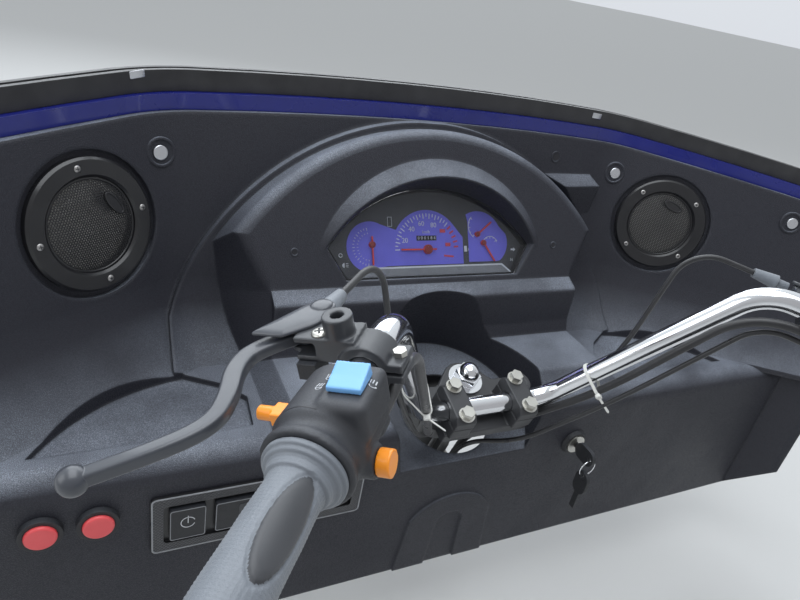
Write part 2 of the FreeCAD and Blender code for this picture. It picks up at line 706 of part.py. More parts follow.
def cross_beam():
    """Two tubes welded to the arm's sides, each with a bolted flange at its outer end."""
    x0 = ARM_W / 2
    tube = cyl(BEAM_R, BEAM_HALF - FLANGE_T - x0, V(x0, BEAM_Y, PLATE_Z), V(1, 0, 0))
    flange = Part.makeBox(FLANGE_T, FLANGE, FLANGE,
                          V(BEAM_HALF - FLANGE_T, BEAM_Y - FLANGE / 2, PLATE_Z - FLANGE / 2))
    body = tube.fuse(flange)
    body = body.cut(cyl(BEAM_R - BEAM_WALL, BEAM_HALF, V(x0 - 1, BEAM_Y, PLATE_Z), V(1, 0, 0)))
    for sy in (-1, 1):
        for sz in (-1, 1):
            at = V(BEAM_HALF - 20, BEAM_Y + sy * FLANGE_BOLT / 2, PLATE_Z + sz * FLANGE_BOLT / 2)
            body = body.cut(cyl(BOLT_R, 40, at, V(1, 0, 0)))
    return Part.makeCompound(both(body))


def dash_brackets():
    """Straps from the beam to the back of the fascia."""
    y0 = FASCIA_Y + WALL + FIT
    strap = Part.makeBox(BRACKET_W, BEAM_Y - y0, BRACKET_T,
                         V(BRACKET_X - BRACKET_W / 2, y0, PLATE_Z - BRACKET_T / 2))
    tab = Part.makeBox(BRACKET_W, BRACKET_T, 60, V(BRACKET_X - BRACKET_W / 2, y0, PLATE_Z - 30))
    body = strap.fuse(tab).cut(cyl(BEAM_R + FIT, 2 * BEAM_HALF, V(-BEAM_HALF, BEAM_Y, PLATE_Z), V(1, 0, 0)))
    return Part.makeCompound(both(body.removeSplitter()))


def lens_slab(grow, deep, thick):
    return Part.makeLoft([lens_outline(grow, deep), lens_outline(grow, deep + thick)], True, True)


def cluster_lens():
    return lens_slab(0, 0, LENS_T)


def cluster_housing():
    tub = lens_slab(0, LENS_T, CLUSTER_DEEP - LENS_T)
    return tub.cut(lens_slab(-HOUSING_T, LENS_T - 1, CLUSTER_DEEP - LENS_T - HOUSING_T + 1))


def dial_face():
    return lens_slab(-HOUSING_T - FIT, DIAL_AT, CLUSTER_DEEP - HOUSING_T - DIAL_AT)


def gauge_needles():
    """Needles with their tails on posts that stand on the dial face."""
    out = []
    for x, s, length, angle, tail, hub in NEEDLES:
        a, b = lens_point(x, s, DIAL_AT), lens_point(x, s, DIAL_AT - 1)
        axis = (b - a).normalize()
        post = cyl(hub, 4, a, axis)
        arm = Part.makeBox(length + tail, 2.0, 1.2, V(-tail, -1.0, 0))
        arm.rotate(V(0, 0, 0), V(0, 0, 1), angle)
        turn = FreeCAD.Placement(a + axis * 2.5, FreeCAD.Rotation(V(1, 0, 0), 90 - LENS_LEAN))
        arm.Placement = turn.multiply(arm.Placement)
        out.append(post.fuse(arm).removeSplitter())
    return Part.makeCompound(out)


def speaker(side):
    """Ring, domed grille and basket of one speaker."""
    p, n = speaker_frame(side)
    floor = p - n * SPK_RECESS_DEEP
    seat = floor + n * FIT
    ring = cyl(SPK_RING / 2, SPK_RING_H, seat, n).cut(cyl(SPK_MESH / 2, 30, seat - n, n))
    rim = [e for e in ring.Edges if abs((e.CenterOfMass - seat).dot(n) - SPK_RING_H) < 0.01]
    ring = ring.makeChamfer(2.5, rim)
    r = SPK_MESH / 2 - FIT
    dome_r = (r * r + SPK_DOME * SPK_DOME) / (2 * SPK_DOME)
    ball = Part.makeSphere(dome_r, seat + n * (5 + SPK_DOME - dome_r))
    grille = cyl(r, 5 + SPK_DOME, seat, n).common(ball)
    grille = grille.cut(cyl(r - 2, 4, seat - n, n))
    basket = Part.makeCone(SPK_BASKET_D / 2, SPK_BASKET_D / 3, SPK_BASKET_L - 14, V(0, 0, 0), V(0, 0, 1))
    magnet = cyl(SPK_BASKET_D / 3, 14, V(0, 0, SPK_BASKET_L - 14))
    basket = basket.fuse(magnet)
    basket.Placement = FreeCAD.Placement(seat - n * FIT, FreeCAD.Rotation(V(0, 0, 1), n * -1))
    return ring, grille, basket


def radio_body():
    w, h = RADIO_W - 2 * FIT, RADIO_H - 2 * FIT
    face = Part.makeBox(w + 10, RADIO_PROUD, h + 8,
                        V(RADIO_X - w / 2 - 5, FASCIA_Y - RADIO_PROUD - FIT, RADIO_Z - h / 2 - 4))
    upright = [e for e in face.Edges if abs(e.tangentAt(e.FirstParameter).y) > 0.9]
    face = face.makeFillet(5, upright)
    neck = Part.makeBox(w, WALL + 8, h, V(RADIO_X - w / 2, FASCIA_Y - 2, RADIO_Z - h / 2))
    box = Part.makeBox(w - 16, RADIO_DEEP, h - 10, V(RADIO_X - w / 2 + 8, FASCIA_Y, RADIO_Z - h / 2 + 5))
    body = fuse([face, neck, box])
    pit = Part.makeBox(w - 12, 5, h - 16, V(RADIO_X - w / 2 + 6, FASCIA_Y - RADIO_PROUD - 2, RADIO_Z - h / 2 + 8))
    return body.cut(pit)


def radio_keys():
    """Keys and display panel seated in the radio's pit: (centre x, width, height)."""
    out = []
    for x, w, h in RADIO_KEYS:
        y0 = FASCIA_Y - RADIO_PROUD - 2 + 5 - FIT
        key = Part.makeBox(w, 5.5, h, V(RADIO_X + x - w / 2, y0 - 5.5, RADIO_Z - h / 2))
        upright = [e for e in key.Edges if abs(e.tangentAt(e.FirstParameter).y) > 0.9]
        out.append(key.makeFillet(2.5, upright))
    return Part.makeCompound(out)


def button_bezels():
    out = []
    for x in BUTTON_XS:
        at = V(x, FASCIA_Y - FIT, BUTTON_Z)
        ring = cyl(BUTTON_RING_D / 2, 6, at, V(0, -1, 0))
        body = cyl(BUTTON_D / 2 - 2 - FIT, 26, at, V(0, 1, 0))
        bore = cyl(BUTTON_D / 2 + FIT, 8, at + V(0, -2, 0), V(0, -1, 0))
        out.append(ring.fuse(body).cut(bore).removeSplitter())
    return Part.makeCompound(out)


def warning_buttons():
    out = []
    for x in BUTTON_XS:
        at = V(x, FASCIA_Y - FIT - 2 - FIT, BUTTON_Z)
        cap = cyl(BUTTON_D / 2, 7, at, V(0, -1, 0))
        rim = [e for e in cap.Edges if abs(e.CenterOfMass.y - (at.y - 7)) < 0.01]
        out.append(cap.makeFillet(2.5, rim))
    return Part.makeCompound(out)


def lock_bezel():
    at = V(LOCK_X, FASCIA_Y - FIT, LOCK_Z)
    ring = Part.makeCone(LOCK_BEZEL_D / 2, LOCK_D / 2 + 2.5, 5, at, V(0, -1, 0))
    return ring.cut(cyl(LOCK_D / 2 - 0.2, 20, at + V(0, 5, 0), V(0, -1, 0)))


def ignition_lock():
    at = V(LOCK_X, FASCIA_Y, LOCK_Z)
    r = LOCK_D / 2 - FIT - 0.2
    body = cyl(r, LOCK_LEN + LOCK_PROUD, at + V(0, LOCK_LEN, 0), V(0, -1, 0))
    slot = Part.makeBox(KEY_T + 2 * FIT, KEY_IN + 2, KEY_BLADE_W + 2 * FIT,
                        V(LOCK_X - KEY_T / 2 - FIT, FASCIA_Y - LOCK_PROUD - 1,
                          LOCK_Z - KEY_BLADE_W / 2 - FIT))
    return body.cut(slot)


def key_shape(blade):
    """A key lying along +X from the head's centre: moulded head with a hole, and its blade."""
    r, half = KEY_HEAD_R, KEY_HEAD_HALF
    low = V(0, 0, -KEY_HEAD_T / 2)
    ends = [cyl(r, KEY_HEAD_T, low + V(s * (half - r), 0, 0)) for s in (-1, 1)]
    middle = Part.makeBox(2 * (half - r), 2 * r, KEY_HEAD_T, V(r - half, -r, low.z))
    stem = Part.makeBox(blade + 2, KEY_BLADE_W, KEY_T, V(half - 2, -KEY_BLADE_W / 2, -KEY_T / 2))
    hole = cyl(KEY_HOLE_R, 2 * KEY_HEAD_T, V(KEY_HOLE_IN - half, 0, -KEY_HEAD_T))
    return fuse(ends + [middle, stem]).cut(hole)


def key_head_y():
    return FASCIA_Y - LOCK_PROUD - 2 - KEY_HEAD_HALF


def ring_top():
    """Wire centre of the ring at its top, resting in the key's hole."""
    return V(LOCK_X, key_head_y() - KEY_HEAD_HALF + KEY_HOLE_IN,
             LOCK_Z - KEY_HOLE_R + RING_WIRE + FIT)


def key_in_lock():
    """The blade points forward into the lock, its flat upright."""
    key = key_shape(KEY_IN + 2)
    key.rotate(V(0, 0, 0), V(1, 0, 0), 90)
    key.rotate(V(0, 0, 0), V(0, 0, 1), 90)
    key.translate(V(LOCK_X, key_head_y(), LOCK_Z))
    return key


def key_ring():
    """Ring through the key's hole, hanging down to the spare key's hole."""
    ring = Part.makeTorus(RING_R, RING_WIRE, V(0, 0, 0), V(0, 1, 0))
    ring.translate(ring_top() - V(0, 0, RING_R))
    return ring


def spare_key():
    """Hangs from the ring with its blade down."""
    key = key_shape(26)
    key.rotate(V(0, 0, 0), V(0, 1, 0), 90)
    hole = ring_top() - V(0, 0, 2 * RING_R + KEY_HOLE_R - RING_WIRE - FIT)
    key.translate(hole - V(0, 0, KEY_HEAD_HALF - KEY_HOLE_IN))
    return key


def cap_frames():
    """Point and normal of each cap's seat, a little below the panel's face."""
    for x, z in CAPS:
        for side in (-1, 1):
            p, n = panel_frame(side * x, z)
            yield p - n * CAP_SUNK, n


def push_caps():
    """Domed cover caps over the panel's fixing screws."""
    out = []
    for p, n in cap_frames():
        disc = cyl(CAP_R, CAP_T, p + n * FIT, n)
        rim = [e for e in disc.Edges if abs((e.CenterOfMass - p).dot(n) - CAP_T - FIT) < 0.01]
        out.append(disc.makeFillet(1.5, rim))
    return Part.makeCompound(out)


def hexagon(af, h, base):
    r = af / math.sqrt(3)
    pts = [V(base.x + r * cosd(60 * i + 30), base.y + r * sind(60 * i + 30), base.z) for i in range(6)]
    return poly(pts).extrude(V(0, 0, h))


def steering_stem():
    low = stop_z() - STOP_T
    stem = cyl(STEM_R, BRACKET_TOP - low, V(0, 0, low))
    stem = stem.fuse(cyl(STEM_FOOT_R, STEM_PIN, V(0, 0, low - STEM_PIN)))
    top_collar = cyl(RACE_R, COLLAR_H, V(0, 0, TUBE_TOP + FIT))
    low_collar = cyl(RACE_R, COLLAR_H, V(0, 0, stop_z()))
    return steer(fuse([stem, top_collar, low_collar]))


def stop_z():
    """Top of the stop plate, under the stem's lower collar."""
    return tube_foot() - FIT - COLLAR_H


def stop_plate():
    """Plate on the stem's foot that the cables end on."""
    plate = cyl(STOP_R, STOP_T, V(0, 0, stop_z() - STOP_T))
    return steer(plate.cut(cyl(STEM_R + 0.05, 30, V(0, 0, stop_z() - 20))))


def cord_ends():
    """Ferrules standing on the stop plate, one round each cable's end."""
    out = []
    for x, y, r in CORD_FEET.values():
        cup = cyl(r + 2.2, 14, V(x, y, stop_z() + 0.02))
        out.append(cup.cut(cyl(r + FIT, 20, V(x, y, stop_z() + 3))))
    return steer(Part.makeCompound(out))


def foot(name):
    """Last points of a cable: down through the bowl's hole to its ferrule."""
    x, y = CORD_FEET[name][:2]
    return [(x, y, BOWL_FLOOR + 12), (x, y, stop_z() + 3.5)]


def top_bracket():
    """Casting on the stem that carries the bar's two lower clamp blocks."""
    t = BRACKET_THICK
    z = BRACKET_TOP - t
    hub = cyl(26, t, V(0, 0, z))
    arm = poly([V(-56, BAR_SET - 22, z), V(56, BAR_SET - 22, z), V(56, BAR_SET + 22, z),
                V(24, 12, z), V(-24, 12, z), V(-56, BAR_SET + 22, z)]).extrude(V(0, 0, t))
    body = hub.fuse(arm)
    for s in (-1, 1):
        x = s * CLAMP_X
        block = Part.makeBox(CLAMP_W, 52, -BRACKET_TOP - BAR_FIT,
                             V(x - CLAMP_W / 2, BAR_SET - 26, BRACKET_TOP))
        ear = cyl(15, t, V(s * 74, -12, z)).fuse(
            Part.makeBox(60, 18, t, V(s * 44 - 30, -21, z)))
        body = fuse([body, block, ear])
    body = body.cut(cyl(BAR_R + BAR_FIT, 200, V(-100, BAR_SET, 0), V(1, 0, 0)))
    body = body.cut(cyl(STEM_R + 0.05, 60, V(0, 0, z - 10)))
    for s in (-1, 1):
        body = body.cut(cyl(6, 60, V(s * 76, -12, z - 10)))
        for d in (-1, 1):
            at = V(s * CLAMP_X, BAR_SET + d * CLAMP_PITCH / 2, BRACKET_TOP)
            body = body.cut(cyl(4.0, 30, at))
    return steer(body)


def stem_nut():
    z = BRACKET_TOP + FIT
    washer = cyl(21, 3, V(0, 0, z))
    nut = hexagon(STEM_AF, 11, V(0, 0, z + 3))
    dome = Part.makeSphere(STEM_AF * 0.46, V(0, 0, z + 14)).common(cyl(20, 20, V(0, 0, z + 14)))
    return steer(fuse([washer, nut, dome]))


def bar_clamps():
    out = []
    for s in (-1, 1):
        x = s * CLAMP_X
        a, b = BAR_SET - 26, BAR_SET + 26
        pts = [V(x - CLAMP_W / 2, a, BAR_FIT), V(x - CLAMP_W / 2, b, BAR_FIT),
               V(x - CLAMP_W / 2, b, CLAMP_H - 6), V(x - CLAMP_W / 2, b - 6, CLAMP_H),
               V(x - CLAMP_W / 2, a + 6, CLAMP_H), V(x - CLAMP_W / 2, a, CLAMP_H - 6)]
        cap = poly(pts).extrude(V(CLAMP_W, 0, 0))
        cap = cap.cut(cyl(BAR_R + BAR_FIT, 100, V(x - 50, BAR_SET, 0), V(1, 0, 0)))
        for d in (-1, 1):
            cap = cap.cut(cyl(4.3, 60, V(x, BAR_SET + d * CLAMP_PITCH / 2, -20)))
        out.append(cap)
    return steer(Part.makeCompound(out))


def clamp_bolts():
    out = []
    for s in (-1, 1):
        for d in (-1, 1):
            at = V(s * CLAMP_X, BAR_SET + d * CLAMP_PITCH / 2, CLAMP_H)
            flange = cyl(9, 1.6, at)
            head = hexagon(BOLT_AF, 6.5, at + V(0, 0, 1.6))
            shank = cyl(3.7, CLAMP_H + 12, V(at.x, at.y, -12))
            out.append(fuse([flange, head, shank]))
    return steer(Part.makeCompound(out))


def bar_points():
    g = V(GRIP_DIR).normalize()
    end = BEND + g * (GRIP_START + GRIP_LEN - 6)
    right = [V(BAR_FLAT, BAR_SET, 0), V(BEND), end]
    left = [V(-p.x, p.y, p.z) for p in reversed(right)]
    return left + right


def rounded_wire(points, radii):
    """Straight runs joined by tangent arcs, one radius for each inner point."""
    edges = []
    last = points[0]
    for i in range(1, len(points) - 1):
        p = points[i]
        u, w = (points[i - 1] - p), (points[i + 1] - p)
        u.normalize()
        w.normalize()
        half = u.getAngle(w) / 2
        cut = radii[i - 1] / math.tan(half)
        a, b = p + u * cut, p + w * cut
        mid_dir = (u + w).normalize()
        centre = p + mid_dir * (radii[i - 1] / math.sin(half))
        mid = centre - mid_dir * radii[i - 1]
        edges.append(Part.LineSegment(last, a).toShape())
        edges.append(Part.Arc(a, mid, b).toShape())
        last = b
    edges.append(Part.LineSegment(last, points[-1]).toShape())
    return Part.Wire(edges)


def pipe(wire, r, bore=0.0):
    start = wire.Edges[0]
    p = start.valueAt(start.FirstParameter)
    t = start.tangentAt(start.FirstParameter)
    rings = [Part.Wire([Part.makeCircle(r, p, t)])]
    body = wire.makePipeShell(rings, True, False)
    if bore:
        body = body.cut(wire.makePipeShell([Part.Wire([Part.makeCircle(bore, p, t)])], True, False))
    return body


def cord_radii(points):
    """Each arc as large as its two runs allow."""
    out = []
    for i in range(1, len(points) - 1):
        u, w = points[i - 1] - points[i], points[i + 1] - points[i]
        turn = math.pi - u.getAngle(w)
        out.append(0.45 * min(u.Length, w.Length) / math.tan(turn / 2))
    return out


def cord(name, points, r):
    pts = [V(*p) for p in points]
    radii = cord_radii(pts)
    wire = rounded_wire(pts, radii)
    body = pipe(wire, r)
    print(name, "length %.0f mm, least radius %.0f" % (wire.Length, min(radii)),
          "volume ratio %.4f" % (body.Volume / (math.pi * r * r * wire.Length)))
    return steer(body)


def handlebar():
    wire = rounded_wire(bar_points(), [BEND_R, BAR_LOW_R, BAR_LOW_R, BEND_R])
    return steer(pipe(wire, BAR_R, BAR_BORE))


def hand(shape, side):
    """From the hand frame of the right or left grip to the drawing point."""
    g = V(GRIP_DIR).normalize()
    e = V(LEVER_DIR)
    e = (e - g * e.dot(g)).normalize()
    w = g.cross(e)
    m = FreeCAD.Matrix(g.x, e.x, w.x, BEND.x, g.y, e.y, w.y, BEND.y, g.z, e.z, w.z, BEND.z, 0, 0, 0, 1)
    out = shape.copy()
    out.Placement = FreeCAD.Placement(m).multiply(out.Placement)
    out = steer(out)
    return out if side > 0 else mirror(out)


def hand_point(p, side):
    """A point of the hand frame, about the steering point."""
    g = V(GRIP_DIR).normalize()
    e = V(LEVER_DIR)
    e = (e - g * e.dot(g)).normalize()
    w = g.cross(e)
    q = BEND + g * p[0] + e * p[1] + w * p[2]
    return (side * q.x, q.y, q.z)


def around(r, x0, x1):
    return cyl(r, x1 - x0, V(x0, 0, 0), V(1, 0, 0))


def grip(side):
    """Rubber grip: flange, waisted barrel and rounded closed end."""
    x0 = GRIP_START + FIT
    x1 = x0 + GRIP_LEN
    r = GRIP_R
    pts = [(x0, 0), (x0, GRIP_FLANGE_R), (x0 + 4, GRIP_FLANGE_R), (x0 + 9, r - 1), (x0 + 40, r),
           (x0 + 80, r + 0.8), (x1 - 6, r), (x1, r - 5), (x1, 0)]
    face = poly([V(x, y, 0) for x, y in pts])
    body = face.revolve(V(0, 0, 0), V(1, 0, 0), 360)
    body = body.cut(around(BAR_R + FIT, x0 - 1, x1 - 5))
    return hand(body, side)


def switch_housing(side):
    """Two-piece switch housing clamped round the bar."""
    x0, x1 = HOUSING_START, GRIP_START
    r = HOUSING_R
    pts = [(x0, 0), (x0, r - 6), (x0 + 6, r - 1), (x1 - 16, r + 1), (x1 - 12, r - 2), (x1 - 6, r - 2),
           (x1 - 6, r), (x1, r), (x1, 0)]
    body = poly([V(x, y, 0) for x, y in pts]).revolve(V(0, 0, 0), V(1, 0, 0), 360)
    if side < 0:
        hump = Part.makeBox(40, 30, 26, V(x0 + 8, -30, 4))
        hump = hump.makeFillet(5, hump.Edges)
        horn = cyl(10, HORN_Y - FIT, V(*HORN_AT), V(0, -1, 0))
        slide = cyl(9, HOUSING_R + 1.2, V(HOUSING_START + 26, 0, 0), V(0, 1, 0))
        body = fuse([body, hump, horn, slide])
    else:
        x, y, z = THROTTLE_AT
        body = body.fuse(Part.makeBox(20, 18, 24, V(x, y - 9, z - 9)))
    sleeve, bore = loom_gland()
    body = body.fuse(sleeve).cut(bore)
    body = body.cut(around(BAR_R + FIT, x0 - 1, x1 + 1)).removeSplitter()
    return hand(body, side)


def dip_switch():
    pts = [(-9, 0), (9, 0), (9, 3.5), (0, 5.5), (-9, 8)]
    key = poly([V(x, 0, z) for x, z in pts]).extrude(V(0, 20, 0))
    key.translate(V(HOUSING_START + 28, -25, 30.3))
    return hand(key, -1)


def indicator_switch():
    knob = Part.makeBox(12, 10, 9, V(-6, 0, -4.5)).fuse(cyl(4.5, 12, V(0, 8, 0), V(0, 1, 0)))
    knob.translate(V(HOUSING_START + 26, HOUSING_R + 1.5, 0))
    return hand(knob.removeSplitter(), -1)


def horn_button():
    return hand(cyl(8, 8, V(*HORN_AT) - V(0, HORN_Y, 0), V(0, -1, 0)), -1)


def perch(side):
    """Lever bracket: split clamp on the bar, arm with the lever's fork, and the mirror boss."""
    x0, x1 = PERCH_X - PERCH_W / 2, PERCH_X + PERCH_W / 2
    ring = around(PERCH_R, x0, x1)
    ears = Part.makeBox(PERCH_W, 16, 14, V(x0, -PERCH_R - 8, -7))
    px, py = PIVOT_AT
    low, tall = LEVER_Z - LEVER_T / 2 - FORK_T, LEVER_T + 2 * FORK_T
    arm = Part.makeBox(PERCH_W, py - 4, tall, V(x0 - 2, 4, low))
    fork = cyl(12, tall, V(px, py, low))
    bx, by = BOSS_AT
    boss = cyl(BOSS_R, BOSS_TOP - 4, V(bx, by, 4))
    body = fuse([ring, ears, arm, fork, boss])
    gap = Part.makeBox(60, 60, LEVER_T + 2 * FIT, V(px - 14, py - 14, LEVER_Z - LEVER_T / 2 - FIT))
    body = body.cut(gap).cut(around(BAR_R + BAR_FIT, x0 - 5, x1 + 5))
    body = body.cut(Part.makeBox(60, 20, 2.5, V(x0 - 10, -PERCH_R - 12, -1.25)))
    body = body.cut(cyl(BOSS_BORE, BOSS_DEEP + 1, V(bx, by, BOSS_TOP - BOSS_DEEP)))
    body = body.cut(cyl(3.1, 60, V(px, py, LEVER_Z - 30)))
    return hand(body, side)


def perch_bolts(side):
    """Pivot screw of the lever and pinch bolt of the clamp."""
    px, py = PIVOT_AT
    low, tall = LEVER_Z - LEVER_T / 2 - FORK_T, LEVER_T + 2 * FORK_T
    pin = cyl(3.0, tall, V(px, py, low))
    head = cyl(5.5, 3, V(px, py, low + tall))
    nut = hexagon(9, 4, V(px, py, low - 4))
    pinch = hexagon(8, 4, V(PERCH_X, -PERCH_R - 3.5, 7.0))
    return [hand(fuse([pin, head, nut]), side), hand(pinch, side)]


def lever(side):
    """Hand lever: bent flat blade with its pivot eye and ball end."""
    pts = [V(x, y, LEVER_Z - LEVER_T / 2) for x, y in LEVER_LINE]
    wire = rounded_wire(pts, [14, 20, 16, 14, 24])
    blade = Part.Face(wire.makeOffset2D(LEVER_W / 2, 0, False, False, False)).extrude(V(0, 0, LEVER_T))
    end = V(LEVER_LINE[-1][0], LEVER_LINE[-1][1], LEVER_Z)
    px, py = PIVOT_AT
    eye = cyl(9, LEVER_T, V(px, py, LEVER_Z - LEVER_T / 2))
    body = fuse([blade, eye, Part.makeSphere(BALL_R, end)])
    return hand(body.cut(cyl(3.05, 40, V(px, py, LEVER_Z - 20))), side)


def lever_cover():
    """Rubber cover over the left lever's pivot."""
    z = LEVER_Z + LEVER_T / 2 + FORK_T + FIT
    pts = [V(60, 76, z), V(34, 60, z), V(14, 46, z), V(20, 32, z), V(44, 34, z), V(60, 52, z)]
    body = poly(pts).extrude(V(0, 0, 4.5))
    px, py = PIVOT_AT
    return hand(body.cut(cyl(6, 3.2, V(px, py, z - 0.1))), -1)


def brake_switch():
    box = Part.makeBox(18, 13, 12, V(PIVOT_AT[0] + 6, PIVOT_AT[1] - 14,
                                     LEVER_Z - LEVER_T / 2 - FORK_T - 12 - FIT))
    return hand(box, -1)


def boot_point(along):
    """Point on the boot's axis, counted from its root, in the hand frame."""
    return (14 - along, 45 - 0.12 * along, LEVER_Z)


def cable_boot(side):
    """Adjuster and rubber boot where the lever's cable leaves the perch."""
    a = V(*boot_point(0))
    body = fuse([Part.makeCone(7.5, 5, 24, a, V(-1, -0.12, 0)), cyl(4.5, 12, a, V(1, 0.12, 0))])
    bore = cyl(CABLE_R + FIT, 16, V(*boot_point(11)), V(-1, -0.12, 0))
    return hand(body.cut(bore), side)


def loom_gland():
    """Sleeve on the switch housing's inner face that takes the wiring loom."""
    y, z = LOOM_AT
    sleeve = cyl(LOOM_R + 2.5, 14, V(HOUSING_START - 4, y, z), V(1, 0, 0))
    return sleeve, cyl(LOOM_R + FIT, 12, V(HOUSING_START - 5, y, z), V(1, 0, 0))


def throttle_adjuster():
    """Brass adjuster screwed into the throttle housing's lug, bored for the cable."""
    x, y, z = THROTTLE_AT
    tube = cyl(4.2, 26, V(x, y, z), V(-1, 0, 0))
    nut = cyl(6.5, 6, V(x - 4, y, z), V(-1, 0, 0))
    bore = cyl(CABLE_R + FIT, 20, V(x - 16, y, z), V(-1, 0, 0))
    return hand(fuse([tube, nut]).cut(bore), 1)


def lever_cable(side):
    name = "lever_cable_left" if side < 0 else "lever_cable_right"
    pts = [hand_point(boot_point(11.5), side), hand_point(boot_point(90), side)]
    pts += [(side * x, y, z) for x, y, z in ((134, -58, 59), (67, -45, -52))]
    return cord(name, pts + foot(name), CABLE_R)


def loom(side):
    name = "loom_left" if side < 0 else "loom_right"
    y, z = LOOM_AT
    pts = [hand_point((HOUSING_START + 6, y, z), side), hand_point((-4, y + 2, z - 3), side)]
    pts += [(side * x, y, z) for x, y, z in ((108, -81, 52), (62, -50, -38))]
    return cord(name, pts + foot(name), LOOM_R)


def throttle_cable():
    x, y, z = THROTTLE_AT
    pts = [hand_point((x - along, y, z), 1) for along in (17, 75)] + [(112, -96, 50), (56, -72, -52)]
    return cord("throttle_cable", pts + foot("throttle_cable"), CABLE_R)


def build():
    nodes = {
        "dash_panel": dash_panel(),
        "windscreen_sill": windscreen_sill(),
        "windscreen_seal": windscreen_seal(),
        "steering_head": steering_head(),
        "cross_beam": cross_beam(),
        "dash_brackets": dash_brackets(),
        "cluster_lens": cluster_lens(),
        "cluster_housing": cluster_housing(),
        "dial_face": dial_face(),
        "gauge_needles": gauge_needles(),
        "radio_body": radio_body(),
        "radio_keys": radio_keys(),
        "button_bezels": button_bezels(),
        "warning_buttons": warning_buttons(),
        "lock_bezel": lock_bezel(),
        "ignition_lock": ignition_lock(),
        "key": key_in_lock(),
        "key_ring": key_ring(),
        "spare_key": spare_key(),
        "push_caps": push_caps(),
        "steering_stem": steering_stem(),
        "stop_plate": stop_plate(),
        "cord_ends": cord_ends(),
        "top_bracket": top_bracket(),
        "stem_nut": stem_nut(),
        "bar_clamps": bar_clamps(),
        "clamp_bolts": clamp_bolts(),
        "handlebar": handlebar(),
        "dip_switch": dip_switch(),
        "indicator_switch": indicator_switch(),
        "horn_button": horn_button(),
        "lever_cover": lever_cover(),
        "brake_switch": brake_switch(),
        "throttle_adjuster": throttle_adjuster(),
        "throttle_cable": throttle_cable(),
    }
    for side, word in ((-1, "left"), (1, "right")):
        ring, grille, basket = speaker(side)
        nodes["speaker_ring_" + word] = ring
        nodes["speaker_grille_" + word] = grille
        nodes["speaker_basket_" + word] = basket
        nodes["grip_" + word] = grip(side)
        nodes["switch_housing_" + word] = switch_housing(side)
        nodes["perch_" + word] = perch(side)
        nodes["perch_bolts_" + word] = Part.makeCompound(perch_bolts(side))
        nodes["lever_" + word] = lever(side)
        nodes["cable_boot_" + word] = cable_boot(side)
        nodes["lever_cable_" + word] = lever_cable(side)
        nodes["loom_" + word] = loom(side)
    return nodes


def main():
    os.makedirs("parts", exist_ok=True)
    for name, shape in build().items():
        out = place(shape)
        print("%-20s valid %s, %d solids, %.0f mm3" % (name, out.isValid(), len(out.Solids), out.Volume))
        out.exportStep("parts/%s.step" % name)


if __name__ == "__main__":
    main()
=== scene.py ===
import bpy
import bmesh
import json
import math
from math import cos, pi, radians, sin
from mathutils import Matrix, Vector
from mathutils.bvhtree import BVHTree


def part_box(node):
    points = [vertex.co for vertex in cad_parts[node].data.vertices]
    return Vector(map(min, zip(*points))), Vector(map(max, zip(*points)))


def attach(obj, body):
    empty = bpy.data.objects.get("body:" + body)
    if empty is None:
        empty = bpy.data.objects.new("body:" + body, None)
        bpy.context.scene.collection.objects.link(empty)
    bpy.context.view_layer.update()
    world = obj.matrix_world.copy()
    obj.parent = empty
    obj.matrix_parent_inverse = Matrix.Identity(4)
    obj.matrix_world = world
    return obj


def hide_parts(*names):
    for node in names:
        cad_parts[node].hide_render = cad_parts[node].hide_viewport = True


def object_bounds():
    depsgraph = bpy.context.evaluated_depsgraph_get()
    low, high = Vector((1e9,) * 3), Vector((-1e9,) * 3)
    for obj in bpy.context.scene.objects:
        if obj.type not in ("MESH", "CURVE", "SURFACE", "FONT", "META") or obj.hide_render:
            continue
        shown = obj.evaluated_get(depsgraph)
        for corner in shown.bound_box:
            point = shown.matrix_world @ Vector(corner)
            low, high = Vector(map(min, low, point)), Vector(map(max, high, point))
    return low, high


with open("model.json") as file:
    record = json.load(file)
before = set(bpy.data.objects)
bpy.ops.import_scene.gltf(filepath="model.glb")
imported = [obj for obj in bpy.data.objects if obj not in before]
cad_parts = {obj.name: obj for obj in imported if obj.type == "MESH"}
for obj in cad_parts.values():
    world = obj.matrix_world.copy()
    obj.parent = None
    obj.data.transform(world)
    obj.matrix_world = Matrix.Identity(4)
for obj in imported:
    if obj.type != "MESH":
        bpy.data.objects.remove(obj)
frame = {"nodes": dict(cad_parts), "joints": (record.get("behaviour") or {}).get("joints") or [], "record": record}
cad_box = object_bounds()
NODES = frame["nodes"]
SLOT_OF = {part["node"]: part["material_slot"] for part in frame["record"]["subparts"]}
SIDES = (("left", -1), ("right", 1))
X, Z = Vector((1, 0, 0)), Vector((0, 0, 1))
MM = 0.001  # outlines and profiles are drawn in millimetres

# Where the frame's own shapes lie, in metres and degrees, as the part states them
DRAWN = Vector((0, -0.096, 0.262))  # point midway between the speakers
RAKE = 18  # lean of the steering axis
BEND = Vector((0.203, -0.0925, 0.2235))  # bar's bend, about the steering point
GRIP_DIR = Vector((0.652, -0.747, 0.124))
LEVER_DIR = Vector((0.7, 0.544, -0.461))
LENS_FOOT = DRAWN + Vector((0, -0.032, -0.06))
LENS_LEAN = radians(30)
DIAL_DEEP = 0.012
WRAP, LEAN = radians(33.5), radians(12)  # how far the speakers face inwards and upwards
FASCIA_Y = DRAWN.y - 0.185
LOOK_Y = -0.4  # rays that look ahead at the dashboard start here


# Node helpers
def put(tree, socket, value):
    """Give an input its own value, or link another node's output to it."""
    if isinstance(value, bpy.types.NodeSocket):
        tree.links.new(value, socket)
    else:
        socket.default_value = value


